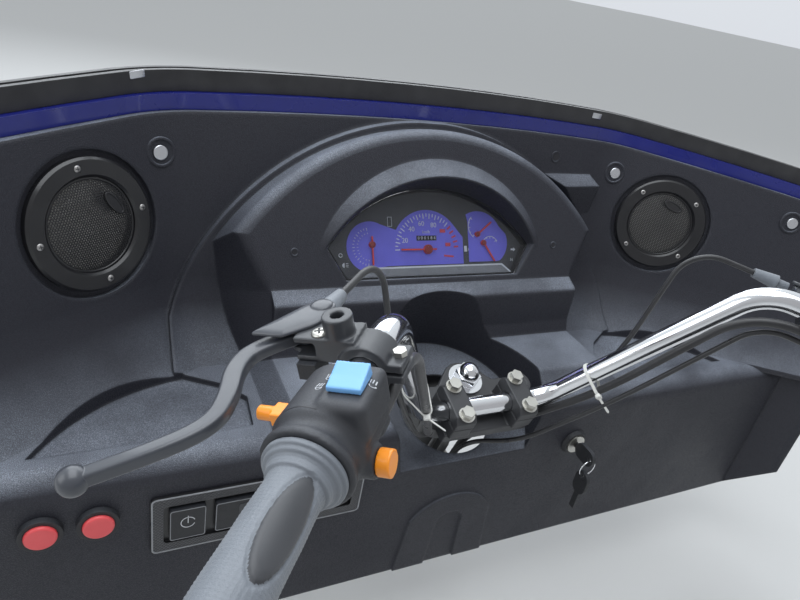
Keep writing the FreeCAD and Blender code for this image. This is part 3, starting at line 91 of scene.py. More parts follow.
def node(tree, kind, inputs=None, **settings):
    """A shader node with its settings and its inputs, which are values or other nodes' outputs."""
    made = tree.nodes.new("ShaderNode" + kind)
    for name, value in settings.items():
        setattr(made, name, value)
    for name, value in (inputs or {}).items():
        put(tree, made.inputs[name], value)
    return made


def maths(tree, operation, a, b, clamp=False):
    return node(tree, "Math", {0: a, 1: b}, operation=operation, use_clamp=clamp).outputs[0]


def blend_colour(tree, factor, a, b):
    """Mix of two colours, which are linear RGB or other nodes' outputs."""
    a, b = ((*colour, 1) if isinstance(colour, tuple) else colour for colour in (a, b))
    return node(tree, "Mix", {0: factor, 6: a, 7: b}, data_type="RGBA").outputs[2]


def spread(tree, value, low, high, to_low=0.0, to_high=1.0):
    """The range of a value from low to high, stretched to a new range and held at its ends."""
    ends = {"From Min": low, "From Max": high, "To Min": to_low, "To Max": to_high}
    return node(tree, "MapRange", {"Value": value, **ends}).outputs[0]


def object_place(tree):
    return node(tree, "TexCoord").outputs["Object"]


def noise(tree, place, scale, detail, distortion=0.0):
    given = {"Vector": place, "Scale": scale, "Detail": detail, "Distortion": distortion}
    return node(tree, "TexNoise", given).outputs["Fac"]


def group(name, inputs, outputs):
    """A shader node group with named value inputs, and colour, value or normal outputs."""
    tree = bpy.data.node_groups.new(name, "ShaderNodeTree")
    for label, default in inputs.items():
        socket = tree.interface.new_socket(label, in_out="INPUT", socket_type="NodeSocketFloat")
        socket.default_value = default
    for label, kind in outputs.items():
        tree.interface.new_socket(label, in_out="OUTPUT", socket_type="NodeSocket" + kind)
    return tree, tree.nodes.new("NodeGroupInput").outputs, tree.nodes.new("NodeGroupOutput").inputs


def use(tree, effect, **values):
    """An effect's node group placed in a material with its own values."""
    return node(tree, "Group", values, node_tree=effect).outputs


# Shared effects
PEBBLE_WANDER = 0.0012  # how far the borders of the pebbles wander
PEBBLE_EDGE = 0.28  # distance to its border at which a pebble is at full height
FACES_UP = 0.42, 0.95  # z of the normal where dust and painted sheen start, and where they are full
CORNER = 0.98, 0.8  # agreement of flat and rounded normals on a face and a corner
STRAND_TURNS = (45, -45)  # degrees that the two sets of strands run at


def grain_effect():
    """Leathery pebble grain of moulded panels: height, and its valleys as a mask."""
    tree, given, out = group("moulded grain", {"Scale": 700.0, "Unevenness": 0.5},
                             {"Height": "Float", "Valleys": "Float"})
    place = object_place(tree)
    warp = node(tree, "TexNoise", {"Vector": place, "Scale": given["Scale"], "Detail": 1.0})
    shift = node(tree, "VectorMath", {0: warp.outputs["Color"], "Scale": PEBBLE_WANDER}, operation="SCALE")
    wandered = node(tree, "VectorMath", {0: place, 1: shift.outputs[0]}, operation="ADD")
    cells = node(tree, "TexVoronoi", {"Vector": wandered.outputs[0], "Scale": given["Scale"]},
                 feature="DISTANCE_TO_EDGE")
    pebble = spread(tree, cells.outputs["Distance"], 0.0, PEBBLE_EDGE)
    level = maths(tree, "MULTIPLY", noise(tree, place, scale=45, detail=3), given["Unevenness"])
    put(tree, out["Height"], maths(tree, "ADD", pebble, level))
    put(tree, out["Valleys"], maths(tree, "SUBTRACT", 1.0, pebble, clamp=True))
    return tree


def dust_and_sheen_effect():
    """Fine dust on surfaces that face up, in soft uneven patches; the same mask paints a pale sheen of light from
    above on them.
    """
    tree, given, out = group("dust and painted sheen", {"Amount": 0.4, "Patch Scale": 9.0}, {"Mask": "Float"})
    place = object_place(tree)
    slope = node(tree, "SeparateXYZ", {0: node(tree, "NewGeometry").outputs["Normal"]}).outputs["Z"]
    patches = spread(tree, noise(tree, place, given["Patch Scale"], detail=6), 0.18, 0.75)
    specks = spread(tree, noise(tree, place, scale=1500, detail=2), 0.45, 0.7)
    both = maths(tree, "MULTIPLY", patches, maths(tree, "ADD", specks, 0.35))
    facing_up_share = maths(tree, "MULTIPLY", both, spread(tree, slope, *FACES_UP))
    put(tree, out["Mask"], maths(tree, "MULTIPLY", facing_up_share, given["Amount"], clamp=True))
    return tree


def edge_effect():
    """Softened edges: a rounded normal, and a mask of the worn corners."""
    tree, given, out = group("soft edges", {"Radius": 0.001, "Wear": 0.5},
                             {"Normal": "Vector", "Mask": "Float"})
    rounded = node(tree, "Bevel", {"Radius": given["Radius"]}, samples=4).outputs[0]
    flat = node(tree, "NewGeometry").outputs["Normal"]
    same = node(tree, "VectorMath", {0: rounded, 1: flat}, operation="DOT_PRODUCT").outputs["Value"]
    chips = spread(tree, noise(tree, object_place(tree), scale=160, detail=4), 0.35, 0.65, 0.45, 1.0)
    worn = maths(tree, "MULTIPLY", spread(tree, same, *CORNER), chips)
    put(tree, out["Normal"], rounded)
    put(tree, out["Mask"], maths(tree, "MULTIPLY", worn, given["Wear"], clamp=True))
    return tree


def smear_effect():
    """Faint wiping marks and fingerprints that vary a gloss."""
    tree, given, out = group("smears", {"Scale": 30.0, "Amount": 0.15}, {"Value": "Float"})
    wide = noise(tree, object_place(tree), given["Scale"], detail=5, distortion=0.6)
    put(tree, out["Value"], maths(tree, "MULTIPLY", spread(tree, wide, 0.3, 0.7), given["Amount"]))
    return tree


def speckle_effect():
    """Fine speckle of cast or plated metal: height and tone."""
    tree, given, out = group("metal speckle", {"Scale": 900.0}, {"Height": "Float", "Tone": "Float"})
    place = object_place(tree)
    put(tree, out["Height"], noise(tree, place, given["Scale"], detail=4))
    put(tree, out["Tone"], spread(tree, noise(tree, place, scale=40, detail=3), 0.3, 0.7))
    return tree


def weave_effect():
    """Crossed wavy strands pressed into trim."""
    tree, given, out = group("pressed weave", {"Scale": 260.0}, {"Height": "Float"})
    part = node(tree, "SeparateXYZ", {0: object_place(tree)}).outputs
    flat = node(tree, "CombineXYZ", {0: part["X"], 1: part["Z"], 2: part["Y"]}).outputs[0]
    strands = []
    for turn in STRAND_TURNS:
        along = node(tree, "Mapping", {"Vector": flat, "Rotation": (0, 0, radians(turn))}).outputs[0]
        wave = node(tree, "TexWave", {"Vector": along, "Scale": given["Scale"], "Distortion": 1.2,
                                      "Detail": 1.0, "Detail Scale": 2.0})
        strands.append(wave.outputs["Fac"])
    put(tree, out["Height"], maths(tree, "MAXIMUM", *strands))
    return tree


GRAIN, DUST_AND_SHEEN, EDGES = grain_effect(), dust_and_sheen_effect(), edge_effect()
SMEARS, SPECKLE, WEAVE = smear_effect(), speckle_effect(), weave_effect()
# Pale bluish tone of dust, and of the painted sheen of light from above, on faces that look up
DUST_AND_SHEEN_TONE = (0.28, 0.31, 0.37)


# Material makers: colours are linear, and radii and depths are in metres
def finish(name, colour, roughness, metallic=0.0, **more):
    """A material with one Principled shader; returns it with its tree and shader."""
    material = bpy.data.materials.new(name)
    material.use_nodes = True
    shader = material.node_tree.nodes["Principled BSDF"]
    shader.inputs["Base Color"].default_value = (*colour, 1)
    shader.inputs["Roughness"].default_value = roughness
    shader.inputs["Metallic"].default_value = metallic
    for label, value in more.items():
        shader.inputs[label.replace("_", " ")].default_value = value
    return material, material.node_tree, shader


def darker(colour, share):
    return tuple(c * share for c in colour)


def surface(tree, shader, tone, rough, height, normal, strength, depth):
    """Connect a colour, a roughness and a relief over softened edges to the shader."""
    bump = node(tree, "Bump", {"Height": height, "Strength": strength, "Distance": depth, "Normal": normal})
    put(tree, shader.inputs["Base Color"], tone)
    put(tree, shader.inputs["Roughness"], rough)
    put(tree, shader.inputs["Normal"], bump.outputs[0])


def moulded(name, colour, pale, roughness, scale, depth, radius, dust_and_sheen, shine=0.5, wear=0.35):
    """Grained plastic moulding with softened edges, worn corners, and dust with a painted sheen of light on faces
    that look up.
    """
    material, tree, shader = finish(name, colour, roughness, Specular_IOR_Level=shine)
    grain = use(tree, GRAIN, Scale=scale, Unevenness=0.35)
    edge = use(tree, EDGES, Radius=radius, Wear=wear)
    smear = use(tree, SMEARS, Scale=7.0, Amount=0.16)
    tone = blend_colour(tree, maths(tree, "MULTIPLY", grain["Valleys"], 0.5), colour, darker(colour, 0.45))
    tone = blend_colour(tree, edge["Mask"], tone, pale)
    # Dust, with a painted sheen of light from above, on faces that look up
    tone = blend_colour(tree, use(tree, DUST_AND_SHEEN, Amount=dust_and_sheen)["Mask"], tone, DUST_AND_SHEEN_TONE)
    rough = maths(tree, "ADD", smear["Value"], maths(tree, "MULTIPLY", grain["Valleys"], 0.25))
    rough = maths(tree, "ADD", rough, roughness - 0.1)
    surface(tree, shader, tone, rough, grain["Height"], edge["Normal"], strength=0.55, depth=depth)
    return material


def speckled(made, tones, share, roughness, scale, smears, edges, strength, depth, pale=None):
    """Fine speckle between two tones, with smears (scale, amount) and soft edges (radius, wear)."""
    material, tree, shader = made
    edge = use(tree, EDGES, Radius=edges[0], Wear=edges[1])
    fine = use(tree, SPECKLE, Scale=scale)
    smear = use(tree, SMEARS, Scale=smears[0], Amount=smears[1])
    tone = blend_colour(tree, maths(tree, "MULTIPLY", fine["Tone"], share), *tones)
    if pale:
        tone = blend_colour(tree, edge["Mask"], tone, pale)
    rough = maths(tree, "ADD", smear["Value"], roughness)
    surface(tree, shader, tone, rough, fine["Height"], edge["Normal"], strength, depth)
    return material


def painted(name, colour, pale, roughness, radius=0.0008, wear=0.4, coat=0.0):
    """Painted metal with edges rubbed pale."""
    made = finish(name, colour, roughness, Coat_Weight=coat, Coat_Roughness=0.08)
    return speckled(made, (colour, darker(colour, 0.7)), 0.35, roughness, scale=700, smears=(24, 0.14),
                    edges=(radius, wear), strength=0.4, depth=0.00008, pale=pale)


def metal(name, colour, dull, roughness, scale=500, depth=0.00004):
    """Bare or plated metal with a fine speckle and dull patches."""
    made = finish(name, colour, roughness, metallic=1.0)
    return speckled(made, (colour, dull), 0.6, roughness, scale, smears=(60, 0.12), edges=(0.0006, 0),
                    strength=0.3, depth=depth)


def gloss(name, colour, shade, roughness, coat=0.0):
    """Smooth coloured plastic with a little tone and wiping marks."""
    made = finish(name, colour, roughness, Coat_Weight=coat, Coat_Roughness=0.12)
    return speckled(made, (colour, shade), 0.7, roughness, scale=260, smears=(45, 0.12),
                    edges=(0.0007, 0.25), strength=0.15, depth=0.00003)


def rubbery(name, colour, pale, roughness, scale, depth, pressed=GRAIN, radius=0.0012, wear=0.3):
    """Matt rubber with a pressed surface, paler where it is rubbed."""
    material, tree, shader = finish(name, colour, roughness, Sheen_Weight=0.15)
    worn = use(tree, SPECKLE, Scale=140.0)
    edge = use(tree, EDGES, Radius=radius, Wear=wear)
    tone = blend_colour(tree, maths(tree, "MULTIPLY", worn["Tone"], 0.5), colour, pale)
    tone = blend_colour(tree, edge["Mask"], tone, pale)
    rough = maths(tree, "ADD", maths(tree, "MULTIPLY", worn["Tone"], 0.15), roughness - 0.08)
    height = use(tree, pressed, Scale=scale)["Height"]
    surface(tree, shader, tone, rough, height, edge["Normal"], strength=0.6, depth=depth)
    return material


def clear_sheet():
    """Clear lens over the instruments, lightly smeared."""
    material, tree, shader = finish("clear lens", (0.93, 0.95, 0.98), 0.03, IOR=1.3, Transmission_Weight=1.0)
    smear = use(tree, SMEARS, Scale=40.0, Amount=0.05)
    put(tree, shader.inputs["Roughness"], maths(tree, "ADD", smear["Value"], 0.02))
    return material


MAT = {
    "moulding": moulded("grained black moulding", (0.027, 0.028, 0.039), (0.11, 0.118, 0.14), 0.4, 520,
                        0.00045, radius=0.006, dust_and_sheen=1.35, shine=0.45, wear=0.4),
    "blue_paint": painted("deep blue paint", (0.007, 0.013, 0.2), (0.03, 0.05, 0.32), 0.22, wear=0.2,
                          coat=0.4),
    "seal_rubber": rubbery("windscreen rubber", (0.016, 0.016, 0.018), (0.05, 0.05, 0.052), 0.5, 900,
                           0.0001),
    "frame_paint": painted("frame paint", (0.022, 0.023, 0.026), (0.16, 0.13, 0.11), 0.38),
    "zinc_steel": metal("zinc plated steel", (0.6, 0.59, 0.55), (0.42, 0.41, 0.38), 0.3),
    "clear_lens": clear_sheet(),
    "black_plastic": moulded("satin black plastic", (0.026, 0.027, 0.031), (0.1, 0.1, 0.11), 0.42, 1500,
                             0.00006, radius=0.0012, dust_and_sheen=0.2),
    "dial": gloss("dial grey", (0.075, 0.078, 0.085), (0.06, 0.062, 0.068), 0.45),
    "needle_red": gloss("needle red", (0.8, 0.07, 0.045), (0.7, 0.04, 0.03), 0.35, coat=0.3),
    "gloss_black": gloss("speaker black", (0.012, 0.012, 0.014), (0.018, 0.018, 0.02), 0.26, coat=0.2),
    "radio_grey": moulded("radio key black", (0.02, 0.021, 0.025), (0.09, 0.09, 0.1), 0.32, 1800, 0.00003,
                          radius=0.0008, dust_and_sheen=0.15),
    "red_plastic": gloss("button red", (0.86, 0.1, 0.11), (0.78, 0.075, 0.085), 0.34, coat=0.3),
    "chrome": metal("polished chrome", (0.86, 0.87, 0.89), (0.8, 0.81, 0.84), 0.035, 300, 0.000006),
    "silver_caps": metal("satin silver", (0.72, 0.73, 0.76), (0.62, 0.63, 0.66), 0.24),
    "bare_steel": metal("turned steel", (0.5, 0.49, 0.48), (0.36, 0.35, 0.34), 0.32),
    "bracket_paint": painted("bracket paint", (0.04, 0.041, 0.045), (0.3, 0.3, 0.31), 0.34, wear=0.55),
    "blue_plastic": gloss("switch blue", (0.2, 0.47, 0.86), (0.17, 0.42, 0.8), 0.34, coat=0.3),
    "orange_plastic": gloss("switch orange", (1, 0.33, 0.015), (0.92, 0.27, 0.01), 0.36, coat=0.3),
    "rubber": rubbery("grey rubber", (0.155, 0.172, 0.198), (0.225, 0.245, 0.275), 0.42, 900, 0.00012),
    "cast_aluminium": painted("perch paint", (0.045, 0.048, 0.055), (0.28, 0.28, 0.29), 0.34, coat=0.2),
    "lever_metal": painted("lever paint", (0.06, 0.065, 0.078), (0.3, 0.31, 0.34), 0.28, wear=0.35,
                           coat=0.35),
    "brass": metal("brass", (0.8, 0.58, 0.24), (0.62, 0.43, 0.16), 0.22),
    "cable_jacket": rubbery("cable jacket", (0.014, 0.014, 0.016), (0.03, 0.03, 0.033), 0.34, 1400, 0.00004,
                            radius=0.0002, wear=0),
    "mesh_paint": painted("speaker mesh paint", (0.02, 0.02, 0.023), (0.08, 0.08, 0.09), 0.36,
                          radius=0.0003),
}
PRINT_WHITE_AND_HIGHLIGHT = gloss("print white and painted highlight", (0.8, 0.82, 0.86), (0.74, 0.76, 0.8), 0.4)
PRINT_RED = gloss("print red", (0.75, 0.09, 0.12), (0.65, 0.06, 0.09), 0.4)
DIAL_VIOLET = gloss("dial violet", (0.2, 0.19, 0.84), (0.16, 0.15, 0.72), 0.4)
COUNTER_BLACK_AND_SHADE = gloss("counter black and painted shade", (0.015, 0.015, 0.02), (0.02, 0.02, 0.025), 0.35)
NEEDLE_HUB = gloss("needle hub", (0.3, 0.035, 0.03), (0.22, 0.02, 0.02), 0.4)
TRIM_GREY = gloss("dial trim", (0.3, 0.31, 0.33), (0.22, 0.23, 0.25), 0.25, coat=0.3)
HOUSING_PLASTIC = moulded("switch housing plastic", (0.04, 0.042, 0.049), (0.14, 0.14, 0.15), 0.4, 2400,
                          0.00003, radius=0.0008, dust_and_sheen=0.15)
DISPLAY_GLASS = gloss("display glass", (0.008, 0.01, 0.016), (0.012, 0.014, 0.02), 0.08, coat=0.6)
WOVEN_TRIM = rubbery("woven trim", (0.03, 0.031, 0.036), (0.055, 0.056, 0.062), 0.35, 120, 0.0008, WEAVE)
TIE_WHITE = gloss("tie white", (0.78, 0.78, 0.75), (0.66, 0.66, 0.62), 0.38)
CONE_PAPER = rubbery("speaker cone", (0.012, 0.012, 0.013), (0.02, 0.02, 0.022), 0.6, 500, 0.0001)
PAD_RUBBER = rubbery("smooth rubber pad", (0.04, 0.042, 0.048), (0.06, 0.062, 0.07), 0.42, 2200, 0.00002)


def dress_nodes():
    """Each frame node takes the finish of its slot in the record."""
    for name, slot in SLOT_OF.items():
        shape = NODES[name].data
        shape.materials.clear()
        shape.materials.append(MAT[slot])


# Mesh helpers
def piece(name, mesh, body, slot, at=None, material=None, smooth=True):
    """A mesh set in place as a piece that rides on a body, in its slot's material unless one is given."""
    mesh.name = name
    if at is not None:
        mesh.transform(at)
    work = bmesh.new()
    work.from_mesh(mesh)
    bmesh.ops.remove_doubles(work, verts=work.verts, dist=1e-6)
    bmesh.ops.recalc_face_normals(work, faces=work.faces)
    work.to_mesh(mesh)
    work.free()
    mesh.polygons.foreach_set("use_smooth", [smooth] * len(mesh.polygons))
    mesh.materials.clear()
    mesh.materials.append(material or MAT[slot])
    made = bpy.data.objects.new(name, mesh)
    bpy.context.scene.collection.objects.link(made)
    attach(made, body)
    return made


def creases(made, angle=35):
    """Smooth shading apart from edges sharper than an angle."""
    made.data.set_sharp_from_angle(angle=radians(angle))


def mesh_of(verts, faces):
    """Mesh from points in millimetres and faces."""
    mesh = bpy.data.meshes.new("points")
    mesh.from_pydata([(x * MM, y * MM, z * MM) for x, y, z in verts], [], faces)
    return mesh


def tube_faces(rings, around, looped=False):
    """Faces that join rings of points in order, with end faces unless the last meets the first."""
    faces = []
    for j in range(rings if looped else rings - 1):
        low, high = j * around, (j + 1) % rings * around
        faces += [(low + i, low + (i + 1) % around, high + (i + 1) % around, high + i) for i in range(around)]
    if not looped:
        faces += [tuple(range(around))[::-1], tuple(range((rings - 1) * around, rings * around))]
    return faces


def turned_mesh(profile, steps):
    """Mesh of a profile of (radius, height) turned about z."""
    n = len(profile)
    turns = [2 * pi * i / steps for i in range(steps)]
    verts = [(r * cos(a), r * sin(a), h) for a in turns for r, h in profile]
    faces = [(i * n + j, (i + 1) % steps * n + j, (i + 1) % steps * n + j + 1, i * n + j + 1)
             for i in range(steps) for j in range(n - 1)]
    return mesh_of(verts, faces)


LETTER_THICK = 0.2
DRAPE_FROM, DRAPE_REACH = 0.03, 0.08  # in metres, above the flat mesh and along the ray


def evaluated(holder):
    """Mesh of an object as its modifiers or curve settings shape it; the object goes."""
    bpy.context.scene.collection.objects.link(holder)
    bpy.context.view_layer.update()
    seen = holder.evaluated_get(bpy.context.evaluated_depsgraph_get())
    mesh = bpy.data.meshes.new_from_object(seen)
    bpy.data.objects.remove(holder)
    return mesh


def baked(data):
    """Mesh of a curve or text block, which goes."""
    mesh = evaluated(bpy.data.objects.new("holder", data))
    bpy.data.curves.remove(data)
    return mesh


def flat_shape(outlines, thick, rounding=0.0):
    """Mesh of a plate with the given outlines in its own plane, holes included."""
    data = bpy.data.curves.new("outline", "CURVE")
    data.dimensions, data.fill_mode = "2D", "BOTH"
    data.extrude, data.bevel_depth, data.bevel_resolution = thick * MM / 2, rounding * MM, 1
    for points in outlines:
        line = data.splines.new("POLY")
        line.points.add(len(points) - 1)
        for point, (x, y) in zip(line.points, points):
            point.co = (x * MM, y * MM, 0, 1)
        line.use_cyclic_u = True
    return baked(data)


def lettering(text, size, x, y):
    """Mesh of a word centred on a point."""
    data = bpy.data.curves.new("text", "FONT")
    data.body, data.size, data.extrude = text, size * MM, LETTER_THICK * MM / 2
    data.align_x, data.align_y = "CENTER", "CENTER"
    data.resolution_u = 3
    mesh = baked(data)
    mesh.transform(shift(x, y))
    return mesh


def smooth_line(points, steps):
    """Points of a smooth curve of order three through a control line, and its ends."""
    data = bpy.data.curves.new("line", "CURVE")
    data.dimensions = "3D"
    line = data.splines.new("NURBS")
    line.points.add(len(points) - 1)
    for point, co in zip(line.points, points):
        point.co = (*co, 1)
    line.order_u = 3
    line.use_endpoint_u = True
    line.resolution_u = steps
    return [v.co.copy() for v in baked(data).vertices]


def joined(parts):
    """One mesh from meshes in place, or from pairs of a mesh and its matrix."""
    work = bmesh.new()
    for part in parts:
        mesh, place = part if isinstance(part, tuple) else (part, Matrix())
        mesh.transform(place)
        work.from_mesh(mesh)
    out = bpy.data.meshes.new("joined")
    work.to_mesh(out)
    work.free()
    return out


def softened(name, voxel, rounds, material):
    """A frame node's own form with its edges rounded as a casting or moulding has them."""
    holder = bpy.data.objects.new("holder", NODES[name].data.copy())
    fine = holder.modifiers.new("Fine", "REMESH")
    fine.mode, fine.voxel_size = "VOXEL", voxel * MM
    ease = holder.modifiers.new("Ease", "SMOOTH")
    ease.factor, ease.iterations = 0.5, rounds
    made = piece("soft_" + name, evaluated(holder), "steering", SLOT_OF[name], material=material)
    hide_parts(name)


# Placing
def axes(origin, x, y, z):
    """Matrix with the given origin and axes."""
    return Matrix([(x[i], y[i], z[i], origin[i]) for i in range(3)] + [(0, 0, 0, 1)])


def facing(origin, normal):
    """Frame on a surface: z along its normal and y as near up as can be."""
    z = Vector(normal).normalized()
    x = Z.cross(z).normalized()
    return axes(origin, x, z.cross(x), z)


def shift(x=0, y=0, z=0):
    """Matrix of a move in millimetres."""
    return Matrix.Translation(Vector((x, y, z)) * MM)


def spin(degrees, axis="Z"):
    return Matrix.Rotation(radians(degrees), 4, axis)


def tree_of(made):
    """Search tree over a piece's or node's faces, for laying small things on them."""
    mesh = made.data
    return BVHTree.FromPolygons([v.co for v in mesh.vertices], [tuple(f.vertices) for f in mesh.polygons])


def draped(mesh, place, tree, lift):
    """Lay a flat mesh down along its frame's z on to a surface, keeping its own thickness."""
    down = -place.col[2].to_3d().normalized()
    for v in mesh.vertices:
        start = place @ Vector((v.co.x, v.co.y, 0))
        hit = tree.ray_cast(start - down * DRAPE_FROM, down, DRAPE_REACH)[0]
        v.co = (hit if hit is not None else start) - down * (lift * MM + v.co.z)
    return mesh


def seat(tree, start, way):
    """Frame where a ray meets a surface: z along its normal, towards the ray."""
    way = Vector(way).normalized()
    hit, normal = tree.ray_cast(Vector(start), way, 1.0)[:2]
    return facing(hit, -normal if normal.dot(way) > 0 else normal)


# Outlines, as lists of points in a plane
def arc_points(cx, cy, r, start, end, count):
    turns = [radians(start + (end - start) * i / (count - 1)) for i in range(count)]
    return [(cx + r * cos(a), cy + r * sin(a)) for a in turns]


def block(x0, y0, x1, y1):
    return [(x0, y0), (x1, y0), (x1, y1), (x0, y1)]


def round_box(w, h, r, x=0.0, y=0.0):
    """Rectangle with round corners about a point."""
    a, b = w / 2 - r, h / 2 - r
    out = []
    for k, (cx, cy) in enumerate(((a, b), (-a, b), (-a, -b), (a, -b))):
        out += arc_points(x + cx, y + cy, r, 90 * k, 90 * k + 90, 5)
    return out


def ring_band(cx, cy, r, width, start, end, count=18):
    return arc_points(cx, cy, r, start, end, count) + arc_points(cx, cy, r - width, end, start, count)


def strip(points, width):
    """Narrow band along a line of points."""
    left, right = [], []
    for i, (x, y) in enumerate(points):
        (ax, ay), (bx, by) = points[max(i - 1, 0)], points[min(i + 1, len(points) - 1)]
        reach = math.hypot(bx - ax, by - ay)
        nx, ny = (ay - by) / reach * width / 2, (bx - ax) / reach * width / 2
        left.append((x + nx, y + ny))
        right.append((x - nx, y - ny))
    return left + right[::-1]


def hull_line(circles, steps=72):
    """Band pulled tight round circles given as (x, y, radius)."""
    out = []
    for i in range(steps):
        c, s = cos(2 * pi * i / steps), sin(2 * pi * i / steps)
        x, y, r = max(circles, key=lambda k: k[0] * c + k[1] * s + k[2])
        out.append((x + r * c, y + r * s))
    return out


# Frames of the part
STEERING = Matrix.Translation(Vector(frame["joints"][0]["pos_m"])) @ spin(RAKE, "X")
LENS = axes(LENS_FOOT, X, Vector((0, sin(LENS_LEAN), cos(LENS_LEAN))),
            Vector((0, -cos(LENS_LEAN), sin(LENS_LEAN))))
DIAL = LENS @ Matrix.Translation((0, 0, -DIAL_DEEP))


def hand_frame(side):
    """Frame at the bar's bend: x along the grip, y towards the lever, z up on the right side."""
    along = GRIP_DIR.normalized()
    ahead = (LEVER_DIR - along * LEVER_DIR.dot(along)).normalized()
    right = STEERING @ axes(BEND, along, ahead, along.cross(ahead))
    if side > 0:
        return right
    return Matrix.Diagonal((-1, 1, 1, 1)) @ right @ Matrix.Diagonal((1, 1, -1, 1))


def speaker_frame(word, side):
    low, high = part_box("speaker_ring_" + word)
    return facing((low + high) / 2, (-side * sin(WRAP) * cos(LEAN), -cos(WRAP) * cos(LEAN), sin(LEAN)))


# Screws
HEAD = [(1, 0), (1, 0.35), (0.92, 0.62), (0.7, 0.88), (0.3, 1)]  # shares of the radius and height
CROSS_WIDE, CROSS_LONG = 0.13, 0.55  # shares of the radius
CROSS_THICK, CROSS_RISE = 0.2, 0.93  # shares of the height


def screws(name, places, radius, height, body, material):
    """Domed heads with a dark cross on top in painted shade for the sunk cross slot, at places whose z points out.
    """
    wide, long = radius * CROSS_WIDE, radius * CROSS_LONG
    cross = [(wide, wide), (wide, long), (-wide, long)]
    for k in range(9):
        x, y = cross[k]
        cross.append((-y, x))
    profile = [(radius * r, height * h) for r, h in HEAD] + [(0.1, height)]
    heads = [(turned_mesh(profile, 24), place) for place in places]
    # Dark crosses laid on the heads: painted shade of the sunk slots
    marks = [(flat_shape([cross], height * CROSS_THICK), place @ shift(z=height * CROSS_RISE))
             for place in places]
    creases(piece(name, joined(heads), body, "zinc_steel", material=material))
    piece(name + "_slot_shade", joined(marks), body, "zinc_steel", material=COUNTER_BLACK_AND_SHADE, smooth=False)


# Speakers
MESH_R, MESH_PITCH, MESH_WALL = 46.7, 2.6, 0.96
MESH_RIM = 0.55  # share of the pitch that holes keep from the rim
DOME_BASE, DOME_RISE = 1.4, 6.0
SPEAKER_TURN = {-1: 7, 1: 44}  # how far each speaker is turned in its recess, to its first screw
SCREW_RING, SCREW_Z = 56.5, 5.4
BADGE_TURN, BADGE_R, BADGE_LONG, BADGE_WIDE = 28, 31.0, 14.0, 6.4
BADGE_LIFT, BADGE_TILT = 0.7, -12


def mesh_dome(x, y):
    return DOME_BASE + DOME_RISE * (1 - (x * x + y * y) / (MESH_R * MESH_R))


def pierced_dome():
    """Domed sheet with rows of six-sided holes."""
    verts, faces = [], []
    row = MESH_PITCH * math.sqrt(3) / 2
    count = int(MESH_R / row) + 1
    for j in range(-count, count + 1):
        for i in range(-count - 1, count + 2):
            cx, cy = (i + (j % 2) / 2) * MESH_PITCH, j * row
            if math.hypot(cx, cy) > MESH_R - MESH_PITCH * MESH_RIM:
                continue
            start = len(verts)
            for across in (MESH_PITCH, MESH_PITCH - MESH_WALL):
                ring = arc_points(cx, cy, across / math.sqrt(3), 30, 330, 6)
                verts += [(x, y, mesh_dome(x, y)) for x, y in ring]
            for k in range(6):
                n = (k + 1) % 6
                faces.append((start + k, start + n, start + n + 6, start + k + 6))
    return mesh_of(verts, faces)


def speaker(word, side):
    """Pierced and domed mesh with its rim, the cone behind it, an oval badge and four screws."""
    place = speaker_frame(word, side)

    def add(name, mesh, at=place, **more):
        return piece("speaker_%s_%s" % (name, word), mesh, "dashboard", "gloss_black", at, **more)

    net = piece("speaker_mesh_" + word, pierced_dome(), "dashboard", "mesh_paint", place)
    sheet = net.modifiers.new("Solidify", "SOLIDIFY")
    sheet.thickness, sheet.offset = 0.5 * MM, -1
    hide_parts("speaker_grille_" + word)
    inner = MESH_R - 2.4
    rim = [(MESH_R, -3), (MESH_R, 2.2), (MESH_R - 1.6, 2.6), (inner, 1.8), (inner, -3), (MESH_R, -3)]
    creases(add("rim", turned_mesh(rim, 96)))
    cone = [(MESH_R - 3, -4.2), (MESH_R - 10, -4.5), (16, -4.5), (0.1, -4.3)]
    add("cone", turned_mesh(cone, 64), material=CONE_PAPER)

    turn = SPEAKER_TURN[side] + BADGE_TURN
    x, y = BADGE_R * cos(radians(turn)), BADGE_R * sin(radians(turn))
    spot = place @ shift(x, y, mesh_dome(x, y) + BADGE_LIFT) @ spin(turn - 90) @ spin(BADGE_TILT, "X")
    oval = [(BADGE_LONG * cos(radians(10 * k)), BADGE_WIDE * sin(radians(10 * k))) for k in range(36)]
    field = [(x * 0.86, y * 0.72) for x, y in oval]
    tool = add("badge", flat_shape([oval, field], 1.6, 0.3), spot).modifiers.new("Bevel", "BEVEL")
    tool.width, tool.segments, tool.limit_method, tool.angle_limit = 0.2 * MM, 1, "ANGLE", radians(35)
    add("badge_field", flat_shape([field], 0.6), spot, smooth=False)
    first = SPEAKER_TURN[side]
    spots = [place @ shift(x, y, SCREW_Z) for x, y in arc_points(0, 0, SCREW_RING, first, first + 270, 4)]
    screws("speaker_screws_" + word, spots, 3.4, 1.4, "dashboard", MAT["bare_steel"])


# Instrument dial, in its own plane
PRINT = 0.3  # thickness of the print
LEFT_GAUGE = (-84, 39.5)
SPEEDO = (-5, 35)
UPPER_GAUGE = (74.5, 64)
LOWER_GAUGE = (90.5, 38.5)
FIELD_LOW = 15.5
# Rings of marks: centre, radius, long and short mark, first and last angle, how many, which are long, width
WHITE_RINGS = [(LEFT_GAUGE, 23.5, 3.5, 2.2, 100, 262, 17, 4, 0.7),
               (LEFT_GAUGE, 17.5, 1.6, 1.6, 100, 262, 13, 1, 0.6),
               (SPEEDO, 45.5, 6.5, 4.0, 180, 48, 23, 2, 1.2),
               (UPPER_GAUGE, 17.0, 3.0, 1.8, 140, 232, 5, 2, 0.8),
               (LOWER_GAUGE, 12.0, 3.0, 1.8, 35, 145, 5, 2, 0.8)]
RED_RING = (SPEEDO, 45.5, 6.5, 6.5, 40, 4, 5, 1, 2.2)
